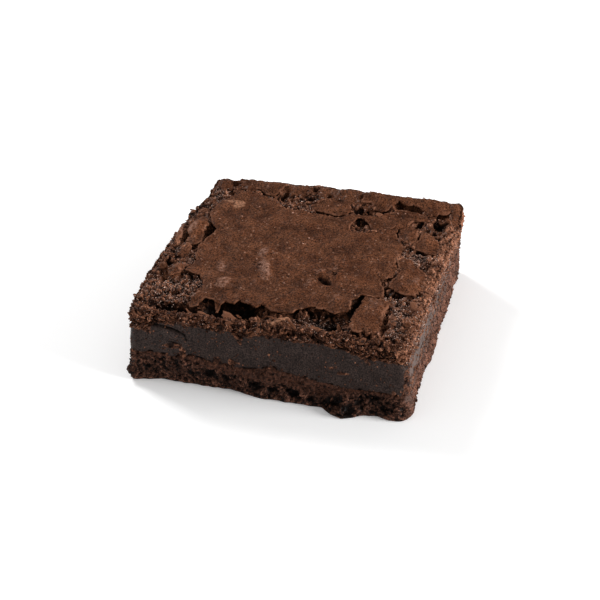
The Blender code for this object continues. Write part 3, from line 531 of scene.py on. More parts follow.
def wall(heights, places, outwards):
    """The ring of points of the wall at the given height above each of the block's plan points."""
    x, y = places.T
    to_right, to_back = np.maximum(outwards.T, 0) ** 2
    to_left, to_front = np.maximum(-outwards.T, 0) ** 2
    foot = 1 - smooth(0.5, FOOT_HEIGHT, heights)
    out = foot * (to_front * along(FRONT_FOOT, x) + to_right * along(RIGHT_FOOT, y))
    rim = to_left * along(LEFT_RIM, y) + to_right * along(RIGHT_RIM, y) + to_back * along(BACK_RIM, x)
    out += smooth(RIM_START, RIM_FULL, heights) * rim
    solid = np.column_stack([x, y, heights])
    for middle, radius, distance in WALL_LUMPS:
        away = np.sum((solid - np.array(middle)) ** 2, axis=1) / radius ** 2
        out += distance * np.exp(-away)
    in_fudge = smooth(-0.5, 0.8, heights - base_top(x, y)) * smooth(-0.5, 0.8, fudge_top(x, y) - heights)
    crumble = 0.42 * rough(solid, 3.4, 5) + 0.3 * rough(solid, 1.9, 6)
    cut = 0.15 * rough(solid, 7, 7)
    out += crumble * (1 - in_fudge) + cut * in_fudge
    return np.column_stack([places + outwards * out[:, None], heights])


# Plan outlines and triangles

def inside(points, outline):
    """Which points lie inside the outline, by counting the edges that a ray to the right crosses."""
    corners = np.array(outline, float)
    found = np.zeros(len(points), bool)
    for (x0, y0), (x1, y1) in zip(corners, np.roll(corners, -1, axis=0)):
        if y0 == y1:
            continue
        crosses = (y0 > points[:, 1]) != (y1 > points[:, 1])
        found ^= crosses & (points[:, 0] < x0 + (points[:, 1] - y0) * (x1 - x0) / (y1 - y0))
    return found


def edge_distance(points, outline):
    """Each point's distance to the nearest edge of the closed outline."""
    starts = np.array(outline, float)
    nearest = np.full(len(points), np.inf)
    for start, end in zip(starts, np.roll(starts, -1, axis=0)):
        run = end - start
        offset = points - start
        share = np.clip(offset @ run / max(run @ run, TINY), 0, 1)
        away = offset - share[:, None] * run
        nearest = np.minimum(nearest, np.einsum("ij,ij->i", away, away))
    return np.sqrt(nearest)


def turning(outline):
    """1 for an anticlockwise outline and -1 for a clockwise one."""
    x, y = outline.T
    return np.sign(np.sum(x * np.roll(y, -1) - np.roll(x, -1) * y))


def outward_normals(outline):
    run = np.roll(outline, -1, axis=0) - np.roll(outline, 1, axis=0)
    normals = np.column_stack([run[:, 1], -run[:, 0]])
    return normals * turning(outline) / np.linalg.norm(normals, axis=1)[:, None]


def ragged(outline, seed):
    """The outline at a fine step, wandering in and out as a broken edge does, with small nicks."""
    corners = np.array(outline, float)
    points = []
    for start, end in zip(corners, np.roll(corners, -1, axis=0)):
        steps = max(1, round(np.linalg.norm(end - start) / PLATE_EDGE_STEP))
        points += [start + (end - start) * step / steps for step in range(steps)]
    points = np.array(points)
    points = (np.roll(points, 1, axis=0) + 2 * points + np.roll(points, -1, axis=0)) / 4
    here = flat(*points.T)
    wander = PLATE_GROWTH + PLATE_EDGE_WANDER * rough(here, 1.7, seed) + 0.24 * rough(here, 0.75, seed + 50)
    nicks = -0.45 * smooth(0.25, 0.55, rough(here, 1, seed + 90))
    return points + outward_normals(points) * (wander + nicks)[:, None]


def scattered(ring, step, seed):
    """A jittered triangular grid of plan points inside the ring, clear of its edge by half a step."""
    draw = np.random.default_rng(seed)
    low, high = ring.min(axis=0), ring.max(axis=0)
    rows = np.arange(low[1], high[1], step * ROW_SHARE)
    columns = np.arange(low[0], high[0], step)
    grid_x = columns[None, :] + (np.arange(len(rows)) % 2)[:, None] * step / 2
    grid_y = np.repeat(rows[:, None], len(columns), axis=1)
    points = np.column_stack([grid_x.ravel(), grid_y.ravel()])
    points += draw.uniform(-JITTER, JITTER, points.shape) * step
    points = points[inside(points, ring)]
    return points[edge_distance(points, ring) > step * 0.5]


def triangulated(loops, points):
    """Plan triangles inside the first loop and outside the others.

    Returns the plan points, the triangles and each loop's vertices in order.
    """
    corners, edges = [], []
    for loop in loops:
        first = len(corners)
        corners += [tuple(point) for point in loop]
        edges += [(first + index, first + (index + 1) % len(loop)) for index in range(len(loop))]
    corners += [tuple(point) for point in points]
    made = delaunay_2d_cdt([Vector(corner) for corner in corners], edges, [], 1, 1e-6)
    plan = np.array([tuple(vertex) for vertex in made[0]])
    faces = np.array(made[2])
    for hole in loops[1:]:
        faces = faces[~inside(plan[faces].mean(axis=1), hole)]
    (x0, y0), (x1, y1), (x2, y2) = (plan[faces[:, corner]].T for corner in range(3))
    backwards = (x1 - x0) * (y2 - y0) - (x2 - x0) * (y1 - y0) < 0
    faces[backwards] = faces[backwards][:, ::-1]
    place_of = np.zeros(len(corners), int)
    for index, sources in enumerate(made[3]):
        place_of[sources] = index
    starts = np.cumsum([0] + [len(loop) for loop in loops])
    return plan, faces, [place_of[first:end] for first, end in zip(starts, starts[1:])]


# Meshes

def bands(rows):
    """Quads between neighbouring rings of vertex numbers, facing outwards if the lowest ring comes first."""
    rows = np.array(rows)
    lower, upper = rows[:-1], rows[1:]
    quads = np.stack([lower, np.roll(lower, -1, axis=1), np.roll(upper, -1, axis=1), upper], axis=-1)
    return quads.reshape(-1, 4)


def in_frame(points):
    """Points of the block's millimetre axes, in the frame's metres, held inside the solids' own box."""
    return np.clip((points - np.array([*PLAN_MIDDLE, 0])) * MM, *np.array(CAD_BOX))


def in_scene(name, data):
    """A new object of the scene that shows the data."""
    made = bpy.data.objects.new(name, data)
    bpy.context.scene.collection.objects.link(made)
    return made


def piece(name, points, faces, material, attributes, rounded=True):
    """A named mesh of the brownie, riding on its body, with one value per vertex for each attribute."""
    mesh = bpy.data.meshes.new(name)
    mesh.from_pydata(in_frame(points).tolist(), [], [list(map(int, face)) for face in faces])
    mesh.polygons.foreach_set("use_smooth", [rounded] * len(mesh.polygons))
    for key, values in attributes.items():
        layer = mesh.attributes.new(key, "FLOAT", "POINT")
        layer.data.foreach_set("value", np.asarray(values, np.float32))
    mesh.materials.append(material)
    mesh.update()
    made = in_scene(name, mesh)
    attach(made, BODY)
    return made


def normals_of(points, faces):
    """The vertex normals of a mesh of triangles and quads."""
    triangles = []
    for face in faces:
        triangles.append(face[:3])
        if len(face) == 4:
            triangles.append((face[0], face[2], face[3]))
    triangles = np.array(triangles)
    a, b, c = (points[triangles[:, corner]] for corner in range(3))
    across = np.cross(b - a, c - a)
    normals = np.zeros_like(points)
    for corner in triangles.T:
        for axis in range(3):
            normals[:, axis] += np.bincount(corner, weights=across[:, axis], minlength=len(points))
    return normals / np.maximum(np.linalg.norm(normals, axis=1), TINY)[:, None]


def layer_shape(rows, bottom, top):
    """Points and faces of a layer, from its wall's rings, lowest first, and its two caps."""
    count = len(rows[0])
    points = list(rows)
    faces = [tuple(quad) for quad in bands(np.arange(len(rows) * count).reshape(len(rows), count))]
    first = len(rows) * count
    for (plan, triangles, order, heights), ring_start, facing in ((bottom, 0, -1), (top, first - count, 1)):
        number = np.full(len(plan), -1)
        number[order] = ring_start + np.arange(count)
        new = number < 0
        number[new] = first + np.arange(new.sum())
        points.append(np.column_stack([plan[new], heights[new]]))
        first += new.sum()
        faces += [tuple(number[face[::facing]]) for face in triangles]
    return np.concatenate(points), faces


def wall_rows(low, high, places, outwards):
    """Rings of the wall from one boundary to the other, about one row apart."""
    count = max(3, int(np.ceil(np.max(high - low) / WALL_ROW)))
    return [wall(low + (high - low) * share, places, outwards) for share in np.linspace(0, 1, count)]


def hidden_cap(ring, height_of, seed):
    """A coarse cap of a layer, over or under which another layer lies."""
    ring = ring[:, :2]
    plan, faces, (order,) = triangulated([ring], scattered(ring, CAP_STEP, seed))
    return plan, faces, order, height_of(*plan.T)


def crumb_detail(points, seed):
    """How far the open crumb stands out of its smooth form: clumps, grains and torn pits."""
    warp = np.column_stack([rough(points, 2.2, seed + 11 + axis) for axis in range(3)])
    bent = points + 0.8 * warp
    ridges = 0.9 * (0.26 - np.abs(fractal(bent, 1.8, 3, seed)))
    flakes = 0.5 * fractal(bent * (1, 1, 1.7), 1.1, 3, seed + 1)
    fine = 0.22 * grains(points, 0.72, seed + 2, 0.7)
    wide_pits = smooth(0.22, 0.46, rough(points, 2, seed + 4))
    small_pits = smooth(0.2, 0.5, rough(points, 1, seed + 5))
    return ridges + flakes + fine + (-0.7 * wide_pits - 0.4 * small_pits) - 0.1


def strata(points, normals, seed):
    """Ragged ledges that run level along the cut side walls, where the knife pulled the crumb along."""
    sideways = smooth(0.5, 0.9, np.abs(normals[:, 0]))
    stretched = points * (1, 0.22, 1)
    return sideways * (0.34 * rough(stretched, 0.95, seed) + 0.2 * rough(stretched, 0.5, seed + 1))


# Materials

def feed(tree, socket, value):
    """Link a node's input to another node's output, or set it to a number or to a colour of three parts."""
    if isinstance(value, bpy.types.NodeSocket):
        tree.links.new(value, socket)
    else:
        socket.default_value = (*value, 1) if socket.type == "RGBA" else value


class Look:
    """A material in the making: its nodes work on the object's own coordinates, with sizes in millimetres."""

    def __init__(self, name, specular):
        self.material = bpy.data.materials.new(name)
        self.material.use_nodes = True
        self.tree = self.material.node_tree
        self.shader = self.tree.nodes["Principled BSDF"]
        self.shader.inputs["Specular IOR Level"].default_value = specular
        self.where = self.node("ShaderNodeTexCoord").outputs["Object"]

    def node(self, kind, values=None, **settings):
        """A node with its settings, and with each input set to a value or linked to a socket."""
        made = self.tree.nodes.new(kind)
        for key, value in settings.items():
            setattr(made, key, value)
        for key, value in (values or {}).items():
            feed(self.tree, made.inputs[key], value)
        return made

    def attribute(self, key):
        return self.node("ShaderNodeAttribute", attribute_name=key).outputs["Fac"]

    def noise(self, cell, detail, sharpness, where=None):
        """Noise with swells of the given size."""
        values = {"Vector": where or self.where, "Scale": 1 / (cell * MM), "Detail": detail}
        return self.node("ShaderNodeTexNoise", values | {"Roughness": sharpness}).outputs["Fac"]

    def ranged(self, value, low, high, to_low=0, to_high=1):
        values = {"Value": value, "From Min": low, "From Max": high, "To Min": to_low, "To Max": to_high}
        return self.node("ShaderNodeMapRange", values, interpolation_type="SMOOTHSTEP").outputs["Result"]

    def mottle(self, swells, spread, result=(0, 1), where=None):
        """Noise of (cell, detail, sharpness) swells, spread from one range to another."""
        return self.ranged(self.noise(*swells, where), *spread, *result)

    def spots(self, cell, where, nearest, farthest):
        """Round spots, one in each cell: how far a place lies in it, and a number drawn for the cell."""
        cells = self.node("ShaderNodeTexVoronoi", {"Vector": where, "Scale": 1 / (cell * MM)}).outputs
        lot = self.node("ShaderNodeSeparateColor", {"Color": cells["Color"]}).outputs[0]
        return self.ranged(cells["Distance"], nearest, farthest, 0.85, 0), lot

    def mixed(self, share, first, second, blend="MIX"):
        """Two colours mixed by a share, each a colour or a socket."""
        values = {0: share, 6: first, 7: second}
        return self.node("ShaderNodeMix", values, data_type="RGBA", blend_type=blend).outputs[2]

    def math(self, operation, first, second):
        return self.node("ShaderNodeMath", {0: first, 1: second}, operation=operation).outputs[0]

    def shaded(self, colour, value):
        """A colour made darker or lighter by a value near 1."""
        grey = self.node("ShaderNodeCombineColor", dict.fromkeys(("Red", "Green", "Blue"), value))
        return self.mixed(1, colour, grey.outputs["Color"], "MULTIPLY")

    def finished(self, colour, gloss, bumps):
        """The material, with bump from noise layers of (cell, detail, sharpness, strength, distance)."""
        normal = {}
        for *swells, strength, distance in bumps:
            values = {"Height": self.noise(*swells), "Strength": strength, "Distance": distance * MM}
            normal = {"Normal": self.node("ShaderNodeBump", values | normal).outputs["Normal"]}
        for key, value in {"Base Color": colour, "Roughness": gloss, **normal}.items():
            feed(self.tree, self.shader.inputs[key], value)
        return self.material


def crumb_colour(look, dark, middle, light):
    """Crumb: painted shade in its clefts and a painted highlight on its crowns, with patches of more and less
    cocoa.
    """
    crown = look.attribute("crown")
    body = look.mixed(look.ranged(crown, -0.36, 0.16), dark, middle)
    patches = look.mottle((3, 3, 0.5), (0.34, 0.6))
    crowns = look.mixed(look.math("MULTIPLY", look.ranged(crown, 0.06, 0.4), patches), body, light)
    return look.shaded(crowns, look.mottle((0.42, 2, 0.75), (0.34, 0.66), (0.28, 1.8)))


def crust_colour(look):
    """Crust: mottled brown with a fine grain, dark pores and light flecks."""
    drawn_out = look.node("ShaderNodeVectorMath", {0: look.where, 1: (1, 0.75, 1)}, operation="MULTIPLY")
    where = drawn_out.outputs[0]
    mottle = look.mottle((4.5, 4, 0.6), (0.3, 0.7), (0.16, 0.84), where)
    grain = look.mottle((0.42, 4, 0.9), (0.37, 0.63), (0.06, 2.02), where)
    colour = look.shaded(look.mixed(mottle, CRUST_DARK, CRUST_LIGHT), grain)
    spot, lot = look.spots(1.25, where, 0.1, 0.32)
    colour = look.mixed(look.math("MULTIPLY", spot, look.ranged(lot, 0.78, 0.82)), colour, CRUST_PORE)
    return look.mixed(look.math("MULTIPLY", spot, look.ranged(lot, 0.24, 0.2)), colour, CRUST_FLECK)


def crumb_material(name, specular=0.08, skinned=False, smear_and_side_light=None, right_face_light=None):
    look = Look(name, specular)
    colour = crumb_colour(look, *CRUMB_COLOURS[name])
    if skinned:
        grainy = look.shaded(colour, look.mottle((0.46, 1, 0.5), (0.42, 0.6), (0.08, 2.1)))
        colour = look.mixed(look.attribute("grainy"), colour, grainy)
        colour = look.mixed(look.attribute("skin"), colour, crust_colour(look))
        # Painted shade: the deep hollows under the crust turn near black.
        colour = look.mixed(look.attribute("hollow_shade"), colour, HOLLOW_SHADE)
    # A smear: real on the base's front face; on the top crumb it is a fudge smear in the fudge's painted
    # right-face light.
    if smear_and_side_light:
        streaked = look.shaded(smear_and_side_light, look.mottle((0.9, 4, 0.75), (0.36, 0.62), (0.32, 1.5)))
        colour = look.mixed(look.attribute("smear_and_side_light"), colour, streaked)
    # Painted light on the faces turned to the right.
    if right_face_light:
        colour = look.mixed(look.attribute("right_face_light"), colour, right_face_light)
    gloss = look.mottle((0.8, 2, 0.5), (0.4, 0.6), (0.34, 0.8))
    return look.finished(colour, gloss, [(0.5, 4, 0.65, 0.8, 0.16)])


def crust_material():
    look = Look("crust", 0.025)
    # Lightness paints light and shade on the plates: lighter on the swells and towards the right, darker in
    # the hollows.
    colour = look.shaded(crust_colour(look), look.math("ADD", look.attribute("lightness"), 1))
    # Random light flecks.
    colour = look.mixed(look.mottle((0.9, 1, 0.5), (0.66, 0.74), (0, 0.5)), colour, CRUST_RIM_LIGHT_AND_FLECK)
    # Painted sheen highlights in patches on the crust's bumps.
    patchy = look.mottle((0.75, 3, 0.8), (0.44, 0.58), (0.1, 1))
    colour = look.mixed(look.math("MULTIPLY", look.attribute("sheen"), patchy), colour, CRUST_SHEEN)
    # Painted shade in the crust's pits.
    colour = look.mixed(look.attribute("pit_shade"), colour, CRUST_PIT_SHADE)
    # Painted highlight along the plates' broken rims.
    colour = look.mixed(look.ranged(look.attribute("edge"), 0.1, 0.9, 0, 0.85), colour, CRUST_RIM_LIGHT_AND_FLECK)
    crumbled = look.shaded(CRUST_PALE, look.mottle((0.7, 3, 0.7), (0.38, 0.6), (0.45, 1.35)))
    colour = look.mixed(look.attribute("pale"), colour, crumbled)
    gloss = look.mottle((2.8, 4, 0.6), (0.36, 0.66), (0.5, 0.76))
    return look.finished(colour, gloss, [(2, 4, 0.6, 0.6, 0.26), (0.55, 2, 0.7, 1, 0.26)])


def fudge_material():
    look = Look("dense_fudge", 0.08)
    colour = look.mixed(look.mottle((3, 5, 0.6), (0.35, 0.68)), FUDGE_DARK, FUDGE_LIGHT)
    # Painted light on the fudge's right-facing cut face.
    colour = look.mixed(look.attribute("right_face_light"), colour, FUDGE_RIGHT_FACE_LIGHT)
    colour = look.shaded(colour, look.mottle((0.42, 2, 0.75), (0.35, 0.65), (0.35, 1.68)))
    spot, lot = look.spots(1.2, look.where, 0.06, 0.2)
    colour = look.mixed(look.math("MULTIPLY", look.ranged(lot, 0.66, 0.72), spot), colour, FUDGE_FLECK)
    crumbs = crumb_colour(look, *CRUMB_COLOURS["on_fudge"])
    colour = look.mixed(look.ranged(look.attribute("cover"), 0.3, 0.6), colour, crumbs)
    # Painted shade in the tear's groove, under the fudge's lip and in the torn pockets.
    colour = look.mixed(look.attribute("groove_and_shade"), colour, FUDGE_GROOVE_SHADE)
    gloss = look.mottle((2, 3, 0.5), (0.3, 0.7), (0.42, 0.6))
    return look.finished(colour, gloss, [(1.1, 4, 0.6, 0.35, 0.2), (0.3, 2, 0.6, 0.4, 0.05)])


# The layers

def depth_under_crust(points):
    """How far each plan point lies in from the nearest plate's edge: below zero in the open."""
    deepest = np.full(len(points), -np.inf)
    for outline in (MAIN_PLATE, *SMALL_PLATES.values()):
        away = edge_distance(points, outline)
        deepest = np.maximum(deepest, np.where(inside(points, outline), away, -away))
    away = edge_distance(points, MAIN_PLATE_HOLE)
    return np.minimum(deepest, np.where(inside(points, MAIN_PLATE_HOLE), -away, away))


def edge_lift(x, y):
    """How far the crust's edges stand up off the crumb, from 0 where they lie on it to 1."""
    return np.clip(relief(x, y, EDGE_LIFTS) + 0.45 * rough(flat(x, y), 5.5, 66) + 0.1, 0, 1)


def open_crumb(x, y):
    """The crumb's top: filled up to the crust's edges where they lie on it, and hollow under lifted ones."""
    under = depth_under_crust(np.column_stack([x, y]))
    filled = 0.55 * (1 - edge_lift(x, y)) * smooth(-2.4, -0.2, under)
    height = crumb_height(x, y) + relief(x, y, CAVITIES) + filled
    height = np.minimum(height, np.where(under > 0.25, crust_height(x, y) - 0.75, np.inf))
    return np.maximum(height, fudge_top(x, y) + 0.7)


def skin_on(x, y, upward, points):
    """How far the crumb wears a skin of crust, from 0 to 1: on its lumps and along the back."""
    back = smooth(32.6, 34.8, y + 1.4 * rough(points, 3, 91))
    back = back * (1 - 0.7 * smooth(-13, -10, x) * smooth(-2, -5, x))
    cover = np.maximum(relief(x, y, SKINS), 0.95 * back) * smooth(0, 0.5, upward)
    return smooth(0.32, 0.6, cover + 0.34 * rough(points, 1.5, 68))


def make_top_cake(places, outwards, material):
    x, y = places.T
    rim = crumb_height(x, y) - RIM_ROUNDING * 0.5
    lower = fudge_top(x, y) - 0.1 + 0.35 * rough(flat(x, y), 2.3, 61)
    rows = wall_rows(lower, rim, places, outwards)
    ring = rows[-1][:, :2]
    fine, coarse = scattered(ring, CRUMB_STEP, 71), scattered(ring, HIDDEN_STEP, 72)
    points = np.concatenate([fine[depth_under_crust(fine) < HIDDEN_INSET],
                             coarse[depth_under_crust(coarse) >= HIDDEN_INSET]])
    plan, triangles, (order,) = triangulated([ring], points)
    rounding = RIM_ROUNDING * (1 - smooth(0, 2.2, edge_distance(plan, ring[::4])))
    top = (plan, triangles, order, open_crumb(*plan.T) - rounding)
    bottom = hidden_cap(rows[0], lambda x, y: fudge_top(x, y) - 0.2, 73)
    points, faces = layer_shape(rows, bottom, top)
    normals = normals_of(points, faces)
    x, y, z = points.T
    to_right, to_top = normals[:, 0], normals[:, 2]
    skin = skin_on(x, y, to_top, points)
    grainy = np.clip(relief(x, y, GRAINY_PATCHES), 0, 1) * smooth(0.3, 0.7, to_top)
    detail = crumb_detail(points, 80)
    detail = detail * (1 - 0.4 * grainy) + grainy * (0.62 * grains(points, 0.9, 87, 0.8) - 0.34)
    # The crown value also carries painted light: lighter on the faces turned to the right and along the right
    # rim. It is darker towards the front edge.
    crown = detail + 0.48 * np.maximum(smooth(0.3, 0.8, to_right), 0.8 * smooth(33, 35.2, x)) + 0.1 * grainy
    crown -= 0.1 * smooth(-34.5, -37, y)
    over_fudge = z - fudge_top(x, y)
    torn = 0.8 * fractal(points * (1, 0.3, 1), 1.6, 3, 79)
    # A fudge smear on the right-facing crumb just above the fudge, coloured with the fudge's painted
    # right-face light.
    smear_and_side_light = 0.9 * smooth(0.4, 0.8, to_right) * smooth(2.6, 1.4, over_fudge - torn) * smooth(22, 8, y)
    out = detail * (1 - 0.8 * skin) * (1 - 0.6 * smear_and_side_light) + 0.15 * skin + strata(points, normals, 84)
    covered = smooth(0, 0.8, depth_under_crust(points[:, :2])) * (to_top > 0.3)
    out *= smooth(0, 0.5, over_fudge + 0.4) * (1 - 0.6 * covered)
    from_edge = edge_distance(points[:, :2], ring[::4])
    # Painted shade in the hollows that lie deep below the crust, away from the block's edge.
    hollow_shade = smooth(1.5, 3.6, crust_height(x, y) - z - out) * smooth(1.2, 3, from_edge)
    points = points + normals * out[:, None]
    values = {"crown": crown, "skin": skin, "hollow_shade": hollow_shade, "smear_and_side_light": smear_and_side_light, "grainy": grainy}
    made = piece("top_crumb", points, faces, material, values)
    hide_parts("top_cake")
    return points, normals_of(points, faces)


def base_smear(points):
    """Where fudge has been pulled down over the base's face below the boundary, from 0 to 1."""
    x, y, z = points.T
    wander = 0.9 * fractal(points, 3.2, 3, 63) + 0.5 * fractal(points, 0.9, 3, 60)
    front = smooth(-37.5, -39.5, y) * smooth(38.5, 36.5, x)
    return smooth(-0.3, 0.5, z - along(SMEAR_FOOT, x) + wander) * front


def make_base(places, outwards, material):
    x, y = places.T
    upper = base_top(x, y) + 0.15 + 0.35 * rough(flat(x, y), 2.3, 62) + 0.3 * rough(flat(x, y), 0.9, 59)
    rows = wall_rows(np.zeros(len(x)), upper, places, outwards)
    bottom = hidden_cap(rows[0], lambda x, y: np.zeros(len(x)), 74)
    top = hidden_cap(rows[-1], lambda x, y: base_top(x, y) + 0.2, 75)
    points, faces = layer_shape(rows, bottom, top)
    normals = normals_of(points, faces)
    x, y, z = points.T
    front = smooth(-37.5, -39, y)
    to_right = normals[:, 0]
    pits = relief(x, z, BASE_PITS)
    detail = 0.62 * crumb_detail(points * 1.5, 90) + 0.22 * grains(points, 0.8, 94, 0.8)
    smear_and_side_light = base_smear(points)
    out = detail * (1 - 0.15 * smear_and_side_light) + 0.3 * smear_and_side_light + strata(points, normals, 86)
    out += 0.8 * pits * front * (1 - 0.5 * smear_and_side_light)
    out *= smooth(0, 0.9, z) * smooth(-0.2, 0.5, base_top(x, y) + 0.4 - z)
    # The crown value carries painted light on the faces turned to the right, and painted shade in the pits of
    # the front face.
    crown = 1.2 * detail + 0.9 * pits * front + 0.5 * smooth(0.3, 0.8, to_right)
    points = points + normals * out[:, None]
    # Painted light: the right-facing face just below the base's top takes the fudge's lighter right-face
    # colour.
    fall = base_top(x, y) - z + 1.6 * fractal(points * (1, 0.3, 1), 2.4, 3, 93)
    right_face_light = 0.85 * smooth(0.5, 0.85, to_right) * smooth(3, 1.4, fall) * smooth(24, 12, y)
    made = piece("base_crumb", points, faces, material,
                 {"crown": crown, "smear_and_side_light": smear_and_side_light, "right_face_light": right_face_light})
    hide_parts("base_cake")
    return points, normals_of(points, faces)


def fudge_cover(points, front):
    """How far crumb covers the fudge's cut faces, from 0 to 1."""
    x, y, z = points.T
    patches = fractal(points * (1, 0.4, 1), 2.6, 4, 64)
    from_top = fudge_top(x, y) - z
    from_base = z - base_top(x, y)
    near = np.exp(-np.maximum(from_top, 0) / 0.6) + np.exp(-np.maximum(from_base, 0) / 0.8)
    on_right = smooth(35.5, 37, x) * (0.42 + 0.9 * smooth(16, 30, y))
    on_hidden = np.maximum(smooth(-36.5, -38, x), smooth(37.5, 39, y)) * 0.4
    smears = relief(x, z, FUDGE_SMEARS) * front
    corner = smooth(35.4, 36.8, x) * smooth(-36.5, -39, y) * 0.8
    return np.clip(near + on_right + on_hidden + smears + corner + 0.7 * patches - 0.22, 0, 1)


def tear_distance(x, z):
    """Each point's distance on the front face to the line where the fudge has torn."""
    distance = np.full(len(x), np.inf)
    for (x0, z0), (x1, z1) in zip(TEAR_LINE, TEAR_LINE[1:]):
        run = np.array([x1 - x0, z1 - z0])
        share = np.clip(((x - x0) * run[0] + (z - z0) * run[1]) / (run @ run), 0, 1)
        distance = np.minimum(distance, np.hypot(x - x0 - share * run[0], z - z0 - share * run[1]))
    return distance


def make_fudge(places, outwards, material):
    x, y = places.T
    rows = wall_rows(base_top(x, y) - LAYER_LAP, fudge_top(x, y) + LAYER_LAP, places, outwards)
    bottom = hidden_cap(rows[0], lambda x, y: base_top(x, y) - LAYER_LAP, 76)
    top = hidden_cap(rows[-1], lambda x, y: fudge_top(x, y) + LAYER_LAP, 77)
    points, faces = layer_shape(rows, bottom, top)
    normals = normals_of(points, faces)
    x, y, z = points.T
    front = smooth(-37.5, -39, y)
    cover = fudge_cover(points, front)
    detail = crumb_detail(points, 95)
    distance = tear_distance(x, z) + 0.22 * rough(points, 1.1, 78)
    groove_and_shade = np.exp(-(distance / 0.24) ** 2) * front
    below = smooth(0.2, -0.4, z - along(TEAR_LINE, x)) * smooth(-35, -33, x) * smooth(-21.4, -22.6, x)
    fold = 0.3 * below * front * np.exp(-(np.maximum(distance - 0.5, 0) / 1.5) ** 2)
    lip_shadow = -0.7 * relief(x, z, (FUDGE_LIP,)) * front
    out = 0.06 * fractal(points, 1.4, 3, 65) + smooth(0.25, 0.7, cover) * (0.12 + 0.6 * detail)
    out += fold - 0.8 * groove_and_shade + lip_shadow + 0.6 * strata(points, normals, 88) * smooth(0.1, 0.5, cover)
    torn = smooth(0.05, 0.35, fractal(points * (1, 1, 1.6), 1.9, 3, 82)) * front
    pockets = torn * np.exp(-((z - base_top(x, y) - 0.55) / 0.3) ** 2)
    out -= 0.6 * pockets
    lap = np.minimum(z - base_top(x, y), fudge_top(x, y) - z)
    out -= 0.5 * (1 - smooth(-LAYER_LAP, 0.1, lap))
    points = points + normals * out[:, None]
    # Painted shade in the tear's groove, under the fudge's lip and in the torn pockets.
    dark = np.clip(groove_and_shade * 1.2 - 1.2 * lip_shadow + pockets, 0, 1)
    # Painted light, in streaks, on the fudge's faces turned to the right.
    streaks = fractal(points * (1, 0.25, 1), 1.8, 3, 81)
    right_face_light = smooth(0.4, 0.9, normals[:, 0]) * np.clip(0.8 + 0.6 * streaks, 0, 1)
    made = piece("fudge", points, faces, material,
                 {"crown": detail, "cover": cover, "groove_and_shade": dark, "right_face_light": right_face_light})
    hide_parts("fudge_layer")
    return points, normals_of(points, faces)


# The crust

def crust_pits(x, y):
    return relief(x, y, CRUST_PITS) * (1 + 1.1 * rough(flat(x, y), 1, 68))


def crust_swell(x, y):
    """The baked bumps, pits and wrinkles of the crust's upper surface."""
    here = flat(x, y)
    bent = here * (0.9, 0.5, 1) + flat(0.4 * y, 0 * y)
    wrinkles = 0.3 * fractal(here, 5, 2, 66) + 0.14 * fractal(bent, 1.7, 3, 69) + 0.04 * rough(here, 0.8, 67)
    return wrinkles + relief(x, y, SHEEN_BUMPS) + crust_pits(x, y)


def plate_top(x, y, distance):
    """The crust's upper surface, at a distance from the plate's edge, which lifts or droops."""
    curl = (0.7 * edge_lift(x, y) - 0.42) * (1 - smooth(0, 2, distance))
    droop = -1.3 * relief(x, y, DROOPS)
    flake = 1.5 * relief(x, y, (RAISED_FLAKE,))
    return crust_height(x, y) + curl + crust_swell(x, y) + droop + flake


